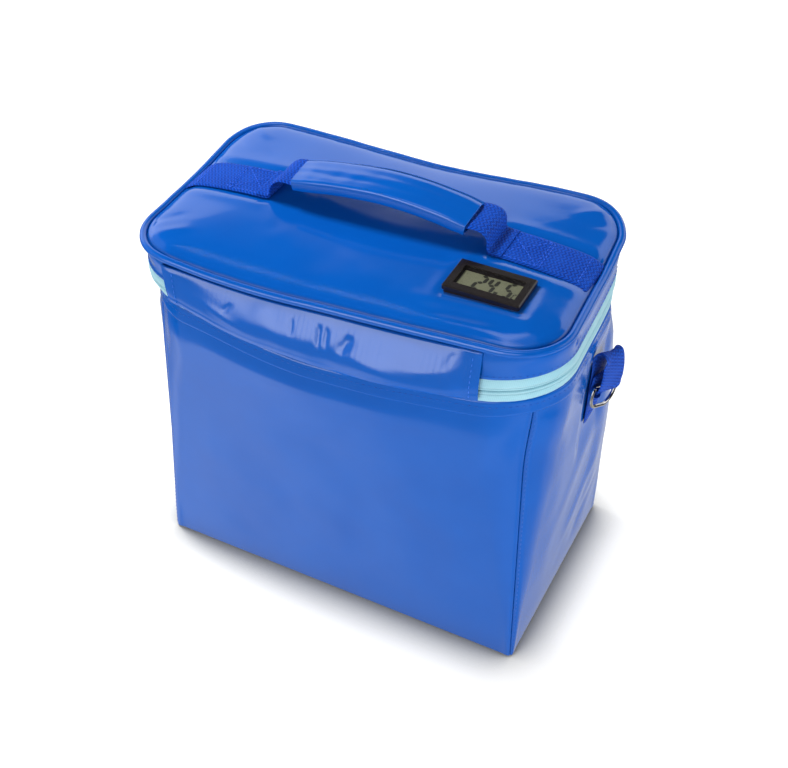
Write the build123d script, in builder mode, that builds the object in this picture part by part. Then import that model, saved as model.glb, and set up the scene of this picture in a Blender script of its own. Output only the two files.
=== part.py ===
from build123d import *
import os
import math

os.makedirs("parts", exist_ok=True)

# ---------------------------------------------------------------------------
# Insulated vaccine carrier: a soft cool box of coated fabric over foam boards.
# Millimetres. +Z up, front is -Y, right is +X, origin at the centre of the
# base, on the surface that the carrier stands on.
# ---------------------------------------------------------------------------

# body
base_w, base_d, base_r = 270.0, 158.0, 2.0        # outline at the base, sewn corners
top_w, top_d, top_r = 284.0, 161.0, 45.0          # outline where the zip starts
body_h = 225.0                                    # height of the body up to the zip
skin = 1.2                                        # coated outer fabric with its backing
foam_t = 12.0                                     # closed-cell foam in the walls
liner_t = 1.0                                     # welded inner liner
cavity_r0 = 5.0                                   # corner of the cavity at its floor
base_skin = 1.5
board_t = 2.5                                     # stiffener board in the base
base_foam_t = 12.0
hem_h = 10.0                                      # bound hem round the body's top edge
hem_t = 0.8

# zip
tape_w, tape_d, tape_r = 283.4, 160.6, 44.8       # outer face of the tapes
tape_t = 0.8
zip_z0, zip_z1 = 225.0, 241.0                     # visible band between body and lid
zip_mid = 233.0
coil_gap = 1.6                                    # the two rows of coil, face to face
coil_h, coil_t = 2.0, 1.6
strip_x = 95.0                                    # half length of the fabric hinge

# lid
skirt_w0, skirt_d0, skirt_r0 = 283.4, 160.6, 44.8  # at the zip
skirt_w1, skirt_d1, skirt_r1 = 282.6, 159.4, 35.0  # under the piping
skirt_z1 = 260.0
pipe_w, pipe_d, pipe_r, pipe_rad = 282.8, 159.4, 34.5, 2.0
pipe_z = 262.0
dome = [(261.0, 278.4, 155.0, 32.3), (265.0, 271.0, 148.0, 29.0),
        (268.6, 256.0, 133.0, 22.0), (270.0, 230.0, 107.0, 12.0)]
top_skin = 1.0
lid_z0 = 241.5

# carrying handle: 30 mm webbing through a padded sleeve
web_w, web_t = 30.0, 1.6
web_y = 5.0
grip_half = 60.0
grip_w, grip_t = 33.0, 11.0
grip_zend, grip_zmid = 283.0, 289.0               # centre line of the arch
riser_x = 76.0                                    # where the webbing meets the lid
move_gap = 0.3

# thermometer
lcd_x, lcd_y = 89.0, -37.0
bez_w, bez_d, bez_t = 48.0, 28.6, 3.0
case_w, case_d = 45.8, 26.4
win_w, win_d = 38.0, 18.0
lcd_z = 270.1

# side tabs and rings
tab_w, tab_t = 25.0, 1.8
bar_c = Vector(149.6, 14.0, 177.0)                # centre of the ring's straight bar
bar_dir = Vector(0.22, 0.87, -0.44).normalized()  # the folded end hangs askew
ring_wire = 1.3
ring_inner_w, ring_drop = 26.0, 13.5

# front flap
flap_x = 106.0
flap_t = 1.2
flap_top_z = 257.6
flap_top_y = -82.2


# ---------------------------------------------------------------------------
# outline of the body at height z, moved out by "off"
# ---------------------------------------------------------------------------
def body_at(z, off=0.0):
    k = z / body_h
    w = base_w + (top_w - base_w) * k
    d = base_d + (top_d - base_d) * k
    r = base_r + (top_r - base_r) * k
    return w + 2 * off, d + 2 * off, max(r + off, 0.4)


# outline of the foam's inner face at height z, moved out by "off"
def cavity_at(z, off=0.0):
    k = z / body_h
    w = base_w + (top_w - base_w) * k - 2 * (skin + foam_t)
    d = base_d + (top_d - base_d) * k - 2 * (skin + foam_t)
    r = cavity_r0 + (top_r - skin - foam_t - cavity_r0) * k
    return w + 2 * off, d + 2 * off, r + off


# ---------------------------------------------------------------------------
# outer panels: front, back, left, right. The four seams run from the corners
# of the base to the middle of the rounded corners at the top.
# ---------------------------------------------------------------------------
def seam_plane(sx, sy):
    foot = Vector(sx * base_w / 2, sy * base_d / 2, 0)
    k = 1 - math.sqrt(0.5)
    head = Vector(sx * (top_w / 2 - k * top_r), sy * (top_d / 2 - k * top_r), body_h)
    inward = Vector(-sx, -sy, 0).normalized()
    return Plane(origin=foot, x_dir=inward, z_dir=inward.cross(head - foot))


seams = {(sx, sy): seam_plane(sx, sy) for sx in (-1, 1) for sy in (-1, 1)}


def side_of(plane, point):
    return Keep.TOP if (Vector(*point) - plane.origin).dot(plane.z_dir) > 0 else Keep.BOTTOM


def two_seams(side):
    if side == "front":
        return [seams[(-1, -1)], seams[(1, -1)]], (0, -80, 100)
    if side == "back":
        return [seams[(-1, 1)], seams[(1, 1)]], (0, 80, 100)
    if side == "left":
        return [seams[(-1, -1)], seams[(-1, 1)]], (-140, 0, 100)
    return [seams[(1, -1)], seams[(1, 1)]], (140, 0, 100)


for side in ("front", "back", "left", "right"):
    planes, inside = two_seams(side)
    with BuildPart() as panel:
        with BuildSketch(Plane.XY.offset(base_skin)):
            w, d, r = body_at(base_skin)
            RectangleRounded(w, d, r)
        with BuildSketch(Plane.XY.offset(body_h)):
            w, d, r = body_at(body_h)
            RectangleRounded(w, d, r)
        loft(ruled=True)
        with BuildSketch(Plane.XY.offset(base_skin)):
            w, d, r = body_at(base_skin, -skin)
            RectangleRounded(w, d, r)
        with BuildSketch(Plane.XY.offset(body_h)):
            w, d, r = body_at(body_h, -skin)
            RectangleRounded(w, d, r)
        loft(ruled=True, mode=Mode.SUBTRACT)
        for p in planes:
            split(bisect_by=p, keep=side_of(p, inside))
    panel.part.label = "outer_" + side + "_panel"
    export_step(panel.part, "parts/outer_" + side + "_panel.step")

with BuildPart() as outer_base_panel:
    with BuildSketch():
        RectangleRounded(base_w, base_d, base_r)
    extrude(amount=base_skin)
outer_base_panel.part.label = "outer_base_panel"
export_step(outer_base_panel.part, "parts/outer_base_panel.step")

# stiffener board and foam of the base, inside the skin
board_z1 = base_skin + board_t
w, d, r = body_at(base_skin, -skin)
with BuildPart() as base_board:
    with BuildSketch(Plane.XY.offset(base_skin)):
        RectangleRounded(w - 0.4, d - 0.4, 1.0)
    extrude(amount=board_t)
base_board.part.label = "base_stiffener_board"
export_step(base_board.part, "parts/base_stiffener_board.step")

with BuildPart() as foam_base:
    with BuildSketch(Plane.XY.offset(board_z1)):
        w, d, r = cavity_at(board_z1, -0.1)
        RectangleRounded(w, d, r + 3.0)
    extrude(amount=base_foam_t)
foam_base.part.label = "foam_base"
export_step(foam_base.part, "parts/foam_base.step")

# foam boards of the walls, mitred along the seams
foam_z1 = body_h - liner_t
for side in ("front", "back", "left", "right"):
    planes, inside = two_seams(side)
    with BuildPart() as foam:
        with BuildSketch(Plane.XY.offset(board_z1)):
            w, d, r = body_at(board_z1, -skin)
            RectangleRounded(w, d, r)
        with BuildSketch(Plane.XY.offset(foam_z1)):
            w, d, r = body_at(foam_z1, -skin)
            RectangleRounded(w, d, r)
        loft(ruled=True)
        with BuildSketch(Plane.XY.offset(board_z1)):
            w, d, r = cavity_at(board_z1)
            RectangleRounded(w, d, r)
        with BuildSketch(Plane.XY.offset(foam_z1)):
            w, d, r = cavity_at(foam_z1)
            RectangleRounded(w, d, r)
        loft(ruled=True, mode=Mode.SUBTRACT)
        for p in planes:
            split(bisect_by=p, keep=side_of(p, inside))
    foam.part.label = "foam_" + side
    export_step(foam.part, "parts/foam_" + side + ".step")

# inner liner: a tub with a rim that turns out over the foam
liner_z0 = board_z1 + base_foam_t
with BuildPart() as liner:
    with BuildSketch(Plane.XY.offset(liner_z0)):
        w, d, r = cavity_at(liner_z0)
        RectangleRounded(w, d, r)
    with BuildSketch(Plane.XY.offset(body_h)):
        w, d, r = cavity_at(body_h)
        RectangleRounded(w, d, r)
    loft(ruled=True)
    with BuildSketch(Plane.XY.offset(foam_z1)):
        w, d, r = body_at(body_h, -skin - 0.1)
        RectangleRounded(w, d, r)
    extrude(amount=liner_t)
    with BuildSketch(Plane.XY.offset(liner_z0 + liner_t)):
        w, d, r = cavity_at(liner_z0 + liner_t, -liner_t)
        RectangleRounded(w, d, r)
    with BuildSketch(Plane.XY.offset(body_h + 1)):
        w, d, r = cavity_at(body_h + 1, -liner_t)
        RectangleRounded(w, d, r)
    loft(ruled=True, mode=Mode.SUBTRACT)
liner.part.label = "inner_liner"
export_step(liner.part, "parts/inner_liner.step")

# bound hem round the top edge of the body
with BuildPart() as hem:
    with BuildSketch(Plane.XY.offset(body_h - hem_h)):
        w, d, r = body_at(body_h - hem_h, hem_t + 0.02)
        RectangleRounded(w, d, r)
    with BuildSketch(Plane.XY.offset(body_h)):
        w, d, r = body_at(body_h, hem_t + 0.02)
        RectangleRounded(w, d, r)
    loft(ruled=True)
    with BuildSketch(Plane.XY.offset(body_h - hem_h)):
        w, d, r = body_at(body_h - hem_h, 0.02)
        RectangleRounded(w, d, r)
    with BuildSketch(Plane.XY.offset(body_h)):
        w, d, r = body_at(body_h, 0.02)
        RectangleRounded(w, d, r)
    loft(ruled=True, mode=Mode.SUBTRACT)
hem.part.label = "body_hem_band"
export_step(hem.part, "parts/body_hem_band.step")


# ---------------------------------------------------------------------------
# zip: two tapes with a row of coil on their inner side. It runs round the
# front, both sides and the back corners; a fabric hinge closes the back.
# ---------------------------------------------------------------------------
def band(name, z0, z1, off_out, off_in, hinge=False):
    with BuildPart() as part:
        with BuildSketch(Plane.XY.offset(z0)):
            RectangleRounded(tape_w + 2 * off_out, tape_d + 2 * off_out, tape_r + off_out)
            RectangleRounded(tape_w + 2 * off_in, tape_d + 2 * off_in, tape_r + off_in,
                             mode=Mode.SUBTRACT)
        extrude(amount=z1 - z0)
        with BuildSketch(Plane.XY.offset(z0 - 1)):
            with Locations((0, tape_d / 2)):
                Rectangle(2 * strip_x if hinge else 2 * strip_x + 3, 40)
        extrude(amount=z1 - z0 + 2, mode=Mode.INTERSECT if hinge else Mode.SUBTRACT)
    part.part.label = name
    export_step(part.part, "parts/" + name + ".step")


lo_top = zip_mid - coil_gap / 2
hi_bot = zip_mid + coil_gap / 2
band("zip_tape_lower", zip_z0, lo_top, 0.0, -tape_t)
band("zip_tape_upper", hi_bot, zip_z1, 0.0, -tape_t)
band("zip_coil_lower", lo_top - coil_h, lo_top, -tape_t, -tape_t - coil_t)
band("zip_coil_upper", hi_bot, hi_bot + coil_h, -tape_t, -tape_t - coil_t)
band("hinge_strip_lower", zip_z0, zip_mid - 1.2, 0.0, -1.0, hinge=True)
band("hinge_strip_upper", zip_mid + 1.0, zip_z1, 0.0, -1.0, hinge=True)

# two sliders, parked head to head on the left side, each with a pull
slider_len = 9.0
slider_y = 5.5
plate_h = 9.0
plate_out = 1.4
face_x = -tape_w / 2
in_x = face_x + tape_t + coil_t
crown_x = face_x - move_gap - plate_out
pull_axis_x, pull_axis_z = crown_x - 2.4, zip_mid
for name, sy in (("front", -1), ("rear", 1)):
    with BuildPart() as slider:
        # outer plate
        with BuildSketch(Plane.YZ.offset(face_x - move_gap)):
            with Locations((sy * slider_y, zip_mid)):
                RectangleRounded(slider_len, plate_h, 2.2)
        extrude(amount=-plate_out)
        # inner plate
        with BuildSketch(Plane.YZ.offset(in_x + move_gap)):
            with Locations((sy * slider_y, zip_mid)):
                RectangleRounded(slider_len, plate_h, 2.2)
        extrude(amount=1.1)
        # the post between the plates
        with BuildSketch(Plane.YZ.offset(face_x - move_gap)):
            with Locations((sy * (slider_y - 2.2), zip_mid)):
                Rectangle(3.4, coil_gap - 2 * move_gap)
        extrude(amount=in_x + 2 * move_gap - face_x + 0.2)
        # crown: two cheeks that carry the pull's pin hole
        with BuildSketch(Plane.YZ.offset(crown_x + 0.1)):
            with Locations((sy * slider_y - 2.6, zip_mid), (sy * slider_y + 2.6, zip_mid)):
                Rectangle(1.2, 5.0)
        extrude(amount=-4.3)
        with BuildSketch(Plane.XZ.offset(-(sy * slider_y + 3.4))):
            with Locations((pull_axis_x, pull_axis_z)):
                Circle(0.95)
        extrude(amount=7.0, mode=Mode.SUBTRACT)
    slider.part.label = "zip_slider_" + name
    export_step(slider.part, "parts/zip_slider_" + name + ".step")

    with BuildPart() as pull:
        # pin in the crown
        with BuildSketch(Plane.XZ.offset(-(sy * slider_y + 3.1))):
            with Locations((pull_axis_x, pull_axis_z)):
                Circle(0.9)
        extrude(amount=6.2)
        # tab, hanging down, with a window
        with BuildSketch(Plane.YZ.offset(pull_axis_x - 0.75)):
            with Locations((sy * slider_y, pull_axis_z - 1.6)):
                Rectangle(3.2, 5.0)
            with Locations((sy * slider_y, pull_axis_z - 11.0)):
                RectangleRounded(6.4, 16.0, 2.4)
            with Locations((sy * slider_y, pull_axis_z - 13.6)):
                RectangleRounded(3.2, 7.0, 1.4, mode=Mode.SUBTRACT)
        extrude(amount=1.5)
    pull.part.label = "zip_pull_" + name
    export_step(pull.part, "parts/zip_pull_" + name + ".step")

# ---------------------------------------------------------------------------
# lid
# ---------------------------------------------------------------------------
with BuildPart() as skirt:
    with BuildSketch(Plane.XY.offset(zip_z1)):
        RectangleRounded(skirt_w0, skirt_d0, skirt_r0)
    with BuildSketch(Plane.XY.offset(skirt_z1)):
        RectangleRounded(skirt_w1, skirt_d1, skirt_r1)
    loft(ruled=True)
    with BuildSketch(Plane.XY.offset(zip_z1)):
        RectangleRounded(skirt_w0 - 2 * skin, skirt_d0 - 2 * skin, skirt_r0 - skin)
    with BuildSketch(Plane.XY.offset(skirt_z1)):
        RectangleRounded(skirt_w1 - 2 * skin, skirt_d1 - 2 * skin, skirt_r1 - skin)
    loft(ruled=True, mode=Mode.SUBTRACT)
skirt.part.label = "lid_skirt"
export_step(skirt.part, "parts/lid_skirt.step")

# piping cord in its welt, round the edge of the top
with BuildSketch(Plane.XY.offset(pipe_z)) as pipe_outline:
    RectangleRounded(pipe_w, pipe_d, pipe_r)
pipe_path = pipe_outline.sketch.faces()[0].outer_wire()
with BuildPart() as piping:
    with BuildSketch(Plane(origin=pipe_path @ 0, z_dir=pipe_path % 0)):
        Circle(pipe_rad)
    sweep(path=pipe_path)
piping.part.label = "lid_piping"
export_step(piping.part, "parts/lid_piping.step")

pocket_w, pocket_d = case_w + 0.6, case_d + 0.6
case_z0 = 257.0
with BuildPart() as top_panel:
    for z, w, d, r in dome:
        with BuildSketch(Plane.XY.offset(z)):
            RectangleRounded(w, d, r)
    loft(ruled=True)
    for z, w, d, r in dome:
        with BuildSketch(Plane.XY.offset(z - top_skin)):
            RectangleRounded(w, d, r)
    loft(ruled=True, mode=Mode.SUBTRACT)
    with BuildSketch(Plane.XY.offset(dome[-1][0] - 5)):
        with Locations((lcd_x, lcd_y)):
            Rectangle(pocket_w, pocket_d)
    extrude(amount=10, mode=Mode.SUBTRACT)
top_panel.part.label = "lid_top_panel"
export_step(top_panel.part, "parts/lid_top_panel.step")

foam_lid_z0 = lid_z0 + 1.0
with BuildPart() as lid_foam:
    with BuildSketch(Plane.XY.offset(foam_lid_z0)):
        RectangleRounded(skirt_w0 - 2 * skin - 0.6, skirt_d0 - 2 * skin - 0.6, skirt_r0 - skin)
    with BuildSketch(Plane.XY.offset(skirt_z1)):
        RectangleRounded(dome[0][1], dome[0][2], dome[0][3])
    loft(ruled=True)
    for z, w, d, r in dome:
        with BuildSketch(Plane.XY.offset(z - top_skin)):
            RectangleRounded(w, d, r)
    loft(ruled=True)
    with BuildSketch(Plane.XY.offset(case_z0 - 1.5)):
        with Locations((lcd_x, lcd_y)):
            Rectangle(pocket_w, pocket_d)
    extrude(amount=30, mode=Mode.SUBTRACT)
    # channel for the probe lead, down to the grommet
    with BuildSketch(Plane.XY.offset(foam_lid_z0 - 1)):
        with Locations((lcd_x, lcd_y)):
            Circle(2.0)
    extrude(amount=20, mode=Mode.SUBTRACT)
lid_foam.part.label = "lid_foam"
export_step(lid_foam.part, "parts/lid_foam.step")

with BuildPart() as lid_liner:
    with BuildSketch(Plane.XY.offset(lid_z0)):
        RectangleRounded(skirt_w0 - 2 * skin - 0.6, skirt_d0 - 2 * skin - 0.6, skirt_r0 - skin)
        with Locations((lcd_x, lcd_y)):
            Circle(4.0, mode=Mode.SUBTRACT)
    extrude(amount=1.0)
lid_liner.part.label = "lid_liner"
export_step(lid_liner.part, "parts/lid_liner.step")

# rubber grommet where a probe lead passes the lid's liner
with BuildPart() as grommet:
    with BuildSketch(Plane.XZ):
        with BuildLine():
            Polyline((1.6, lid_z0 - 1.2), (5.6, lid_z0 - 1.2), (5.6, lid_z0), (4.0, lid_z0),
                     (4.0, lid_z0 + 1.0), (1.6, lid_z0 + 1.0), (1.6, lid_z0 - 1.2))
        make_face()
    revolve(axis=Axis.Z)
grommet_solid = grommet.part.moved(Location((lcd_x, lcd_y, 0)))
grommet_solid.label = "probe_grommet"
export_step(grommet_solid, "parts/probe_grommet.step")

# ---------------------------------------------------------------------------
# thermometer, let into the lid
# ---------------------------------------------------------------------------
case_wall = 1.4
with BuildPart() as housing:
    with BuildSketch(Plane.XY.offset(case_z0)):
        with Locations((lcd_x, lcd_y)):
            Rectangle(case_w, case_d)
    extrude(amount=lcd_z - case_z0 + 0.1)
    with BuildSketch(Plane.XY.offset(lcd_z)):
        with Locations((lcd_x, lcd_y)):
            RectangleRounded(bez_w, bez_d, 1.2)
    extrude(amount=bez_t)
    top_edges = housing.faces().sort_by(Axis.Z)[-1].edges()
    chamfer(top_edges, length=0.7)
    # window and the room behind it
    with BuildSketch(Plane.XY.offset(case_z0 - 1)):
        with Locations((lcd_x, lcd_y)):
            Rectangle(case_w - 2 * case_wall, case_d - 2 * case_wall)
    extrude(amount=lcd_z + 0.6 - case_z0 + 1, mode=Mode.SUBTRACT)
    with BuildSketch(Plane.XY.offset(lcd_z)):
        with Locations((lcd_x, lcd_y)):
            Rectangle(win_w, win_d)
    extrude(amount=10, mode=Mode.SUBTRACT)
housing.part.label = "thermometer_housing"
export_step(housing.part, "parts/thermometer_housing.step")

with BuildPart() as window:
    with BuildSketch(Plane.XY.offset(lcd_z + 0.6)):
        with Locations((lcd_x, lcd_y)):
            Rectangle(win_w - 0.1, win_d - 0.1)
    extrude(amount=1.4)
window.part.label = "thermometer_window"
export_step(window.part, "parts/thermometer_window.step")

with BuildPart() as lcd_glass:
    with BuildSketch(Plane.XY.offset(lcd_z + 0.6 - 2.0)):
        with Locations((lcd_x, lcd_y)):
            Rectangle(41.0, 21.4)
    extrude(amount=2.0)
lcd_glass.part.label = "lcd_glass"
export_step(lcd_glass.part, "parts/lcd_glass.step")

pcb_z = lcd_z - 3.0
with BuildPart() as pcb:
    with BuildSketch(Plane.XY.offset(pcb_z)):
        with Locations((lcd_x, lcd_y)):
            Rectangle(42.4, 23.0)
            with GridLocations(38.0, 18.6, 2, 2):
                Circle(0.9, mode=Mode.SUBTRACT)
    extrude(amount=1.2)
pcb.part.label = "circuit_board"
export_step(pcb.part, "parts/circuit_board.step")

with BuildPart() as cells:
    with BuildSketch(Plane.XY.offset(pcb_z - 5.4)):
        with Locations((lcd_x - 8.0, lcd_y), (lcd_x + 8.0, lcd_y)):
            Circle(5.8)
    extrude(amount=5.4)
cells.part.label = "button_cells"
export_step(cells.part, "parts/button_cells.step")

with BuildPart() as rear_cover:
    with BuildSketch(Plane.XY.offset(case_z0)):
        with Locations((lcd_x, lcd_y)):
            Rectangle(case_w - 2 * case_wall - 0.1, case_d - 2 * case_wall - 0.1)
            Circle(1.6, mode=Mode.SUBTRACT)
    extrude(amount=1.2)
rear_cover.part.label = "thermometer_rear_cover"
export_step(rear_cover.part, "parts/thermometer_rear_cover.step")

# ---------------------------------------------------------------------------
# handle: the webbing is sewn flat to the lid on each side, rises to the grip
# and runs through it
# ---------------------------------------------------------------------------
lift = web_t / 2 + 0.03
for name, sx in (("left", -1), ("right", 1)):
    flat_pts = [(sx * riser_x, dome[3][0] + lift), (sx * 115.0, dome[3][0] + lift),
                (sx * (128.0 + 0.55), dome[2][0] + lift - 0.02), (sx * (135.5 + 0.75), dome[1][0] + lift),
                (sx * (138.3 + 0.9), dome[1][0] + lift - 2.0)]
    with BuildPart() as flat:
        with BuildSketch(Plane.XZ.offset(-(web_y + web_w / 2))):
            with BuildLine():
                Polyline(*flat_pts)
            trace(line_width=web_t)
        extrude(amount=web_w)
        # square end at the riser
        with BuildSketch(Plane.XY.offset(dome[3][0] - 5)):
            with Locations((sx * (riser_x - 5), web_y)):
                Rectangle(10, web_w + 2)
        extrude(amount=12, mode=Mode.SUBTRACT)
    flat.part.label = "handle_strap_" + name
    export_step(flat.part, "parts/handle_strap_" + name + ".step")

    z0 = dome[3][0] + lift
    with BuildPart() as riser:
        with BuildSketch(Plane.XZ.offset(-(web_y + web_w / 2))):
            with BuildLine():
                Polyline((sx * (grip_half - 5), grip_zend + 0.3), (sx * (grip_half + 4.5), grip_zend - 0.4),
                         (sx * (riser_x - 5.0), z0 + 7.5), (sx * (riser_x - 2.2), z0 + 2.2),
                         (sx * (riser_x + 3), z0))
            trace(line_width=web_t)
        extrude(amount=web_w)
        # square ends, and kept off the lid's top
        with BuildSketch(Plane.XY.offset(260)):
            with Locations((sx * (riser_x + 10), web_y)):
                Rectangle(20, web_w + 2)
            with Locations((sx * (grip_half + move_gap - 10), web_y)):
                Rectangle(20, web_w + 2)
        extrude(amount=40, mode=Mode.SUBTRACT)
        with BuildSketch(Plane.XY.offset(dome[3][0] - 6)):
            with Locations((sx * riser_x, web_y)):
                Rectangle(60, web_w + 2)
        extrude(amount=6.03, mode=Mode.SUBTRACT)
    riser.part.label = "handle_riser_" + name
    export_step(riser.part, "parts/handle_riser_" + name + ".step")


def arch(w, t, half=grip_half, drop=0.0):
    # closed outline of an arched bar in the XZ plane
    lo, hi = -t / 2, t / 2
    with BuildLine() as line:
        ThreePointArc((-half, grip_zend + hi), (0, grip_zmid + hi), (half, grip_zend + hi))
        Line((half, grip_zend + hi), (half, grip_zend + lo))
        ThreePointArc((half, grip_zend + lo), (0, grip_zmid + lo), (-half, grip_zend + lo))
        Line((-half, grip_zend + lo), (-half, grip_zend + hi))
    return line


def long_edges(part):
    return part.edges().filter_by(GeomType.CIRCLE)


sleeve_t = 1.2
with BuildPart() as grip_core:
    with BuildSketch(Plane.XZ.offset(-(web_y + grip_w / 2 - sleeve_t))):
        add(arch(grip_w, grip_t - 2 * sleeve_t).line)
        make_face()
    extrude(amount=grip_w - 2 * sleeve_t)
    fillet(long_edges(grip_core), radius=3.0)

with BuildPart() as sleeve:
    with BuildSketch(Plane.XZ.offset(-(web_y + grip_w / 2))):
        add(arch(grip_w, grip_t).line)
        make_face()
    extrude(amount=grip_w)
    fillet(long_edges(sleeve), radius=4.2)
    add(grip_core.part, mode=Mode.SUBTRACT)
sleeve.part.label = "grip_sleeve"
export_step(sleeve.part, "parts/grip_sleeve.step")

with BuildPart() as grip_web:
    with BuildSketch(Plane.XZ.offset(-(web_y + web_w / 2 - 0.6))):
        add(arch(web_w, web_t).line)
        make_face()
    extrude(amount=web_w - 1.2)
grip_web.part.label = "grip_webbing"
export_step(grip_web.part, "parts/grip_webbing.step")

with BuildPart() as grip_foam:
    add(grip_core.part)
    with BuildSketch(Plane.XZ.offset(-(web_y + web_w / 2 - 0.6))):
        add(arch(web_w, web_t).line)
        make_face()
    extrude(amount=web_w - 1.2, mode=Mode.SUBTRACT)
grip_foam.part.label = "grip_foam"
export_step(grip_foam.part, "parts/grip_foam.step")

# ---------------------------------------------------------------------------
# front flap: hangs from the welt over the zip; deepest in the middle
# ---------------------------------------------------------------------------
with BuildPart() as flap:
    with BuildSketch(Plane.YZ.offset(-flap_x)):
        with BuildLine():
            Polyline((flap_top_y, flap_top_z), (flap_top_y - 2.6, flap_top_z - 8), (flap_top_y - 4.4, flap_top_z - 20),
                     (flap_top_y - 4.0, flap_top_z - 34), (flap_top_y - 2.4, flap_top_z - 52))
        trace(line_width=flap_t)
    extrude(amount=2 * flap_x)
    # lower edge: 36 mm deep at the ends, 49 mm in the middle
    with BuildSketch(Plane.XZ.offset(60)):
        with BuildLine():
            ThreePointArc((-flap_x, flap_top_z - 35.5), (0, flap_top_z - 49), (flap_x, flap_top_z - 35.5))
            Line((flap_x, flap_top_z - 35.5), (flap_x + 4, flap_top_z - 35.5))
            Line((flap_x + 4, flap_top_z - 35.5), (flap_x + 4, flap_top_z - 80))
            Line((flap_x + 4, flap_top_z - 80), (-flap_x - 4, flap_top_z - 80))
            Line((-flap_x - 4, flap_top_z - 80), (-flap_x - 4, flap_top_z - 35.5))
            Line((-flap_x - 4, flap_top_z - 35.5), (-flap_x, flap_top_z - 35.5))
        make_face()
    extrude(amount=40, mode=Mode.SUBTRACT)
flap.part.label = "front_flap"
export_step(flap.part, "parts/front_flap.step")

# ---------------------------------------------------------------------------
# strap tabs and rings, one pair on each side. The webbing is sewn upright to
# the side panel, and its free end folds over outwards and holds the ring.
# ---------------------------------------------------------------------------
upright = Vector(0, 1, 0)
tab_path = [(Vector(140.72, 15.5, 151.0), upright), (Vector(141.38, 15.5, 172.0), upright),
            (Vector(143.3, 15.3, 190.0), Vector(0.08, 0.98, -0.16)),
            (Vector(144.9, 15.1, 199.3), Vector(0.17, 0.93, -0.30)),
            (Vector(147.0, 14.9, 203.3), bar_dir), (Vector(150.2, 14.7, 203.7), bar_dir),
            (Vector(152.4, 14.5, 200.4), bar_dir), (Vector(152.9, 14.2, 191.6), bar_dir),
            (Vector(152.1, 14.0, 179.0), bar_dir)]


def tab_section(i):
    c, w = tab_path[i]
    before = tab_path[max(i - 1, 0)][0]
    after = tab_path[min(i + 1, len(tab_path) - 1)][0]
    return Plane(origin=c, x_dir=w, z_dir=(after - before).cross(w).cross(w) * -1)


with BuildPart() as tab:
    for i in range(len(tab_path)):
        with BuildSketch(tab_section(i)):
            Rectangle(tab_w, tab_t)
    loft(ruled=True)
    # loop round the ring's bar
    with BuildSketch(Plane(origin=bar_c - bar_dir * (tab_w / 2), z_dir=bar_dir)):
        Circle(ring_wire + 0.4 + 1.6)
    extrude(amount=tab_w)
    with BuildSketch(Plane(origin=bar_c - bar_dir * (tab_w / 2 + 1), z_dir=bar_dir)):
        Circle(ring_wire + 0.4)
    extrude(amount=tab_w + 2, mode=Mode.SUBTRACT)

# wire ring: a straight bar in the tab's loop, and a bow that hangs below it
down = Vector(0, 0, -1)
hang = (down - bar_dir * down.dot(bar_dir)).normalized()
ring_plane = Plane(origin=bar_c, x_dir=bar_dir, z_dir=bar_dir.cross(hang * -1))
half = ring_inner_w / 2 + ring_wire
low, r1, r2 = -ring_drop, 2.4, 9.5
with BuildPart() as ring:
    with BuildLine(ring_plane) as ring_path:
        Line((0, 0), (half - r1, 0))
        CenterArc((half - r1, -r1), r1, 90, -90)
        Line((half, -r1), (half, low + r2))
        CenterArc((half - r2, low + r2), r2, 0, -90)
        Line((half - r2, low), (-half + r2, low))
        CenterArc((-half + r2, low + r2), r2, 270, -90)
        Line((-half, low + r2), (-half, -r1))
        CenterArc((-half + r1, -r1), r1, 180, -90)
        Line((-half + r1, 0), (0, 0))
    with BuildSketch(Plane(origin=bar_c, z_dir=bar_dir)):
        Circle(ring_wire)
    sweep(path=ring_path.wires()[0])

for name, source in (("ring_tab", tab.part), ("d_ring", ring.part)):
    source.label = name + "_right"
    export_step(source, "parts/" + name + "_right.step")
    other = mirror(source, about=Plane.YZ, mode=Mode.PRIVATE)
    other.label = name + "_left"
    export_step(other, "parts/" + name + "_left.step")
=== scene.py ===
import bpy
import math
import numpy as np
from mathutils import Matrix, Vector


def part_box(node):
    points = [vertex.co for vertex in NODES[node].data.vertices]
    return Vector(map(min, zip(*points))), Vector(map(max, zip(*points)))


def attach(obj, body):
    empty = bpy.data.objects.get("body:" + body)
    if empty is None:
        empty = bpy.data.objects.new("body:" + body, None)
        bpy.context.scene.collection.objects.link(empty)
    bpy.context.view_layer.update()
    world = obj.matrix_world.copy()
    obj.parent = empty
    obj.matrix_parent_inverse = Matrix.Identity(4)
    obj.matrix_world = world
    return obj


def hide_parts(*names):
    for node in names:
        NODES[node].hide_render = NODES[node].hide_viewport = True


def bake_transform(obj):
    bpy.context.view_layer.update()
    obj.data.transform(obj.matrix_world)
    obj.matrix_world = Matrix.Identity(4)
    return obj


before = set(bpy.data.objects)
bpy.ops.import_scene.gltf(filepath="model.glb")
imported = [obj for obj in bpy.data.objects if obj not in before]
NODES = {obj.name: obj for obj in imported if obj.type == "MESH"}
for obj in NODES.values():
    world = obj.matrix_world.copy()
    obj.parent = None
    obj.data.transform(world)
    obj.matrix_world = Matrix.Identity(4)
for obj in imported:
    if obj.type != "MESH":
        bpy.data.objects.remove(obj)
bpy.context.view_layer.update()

MM = 0.001

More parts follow.
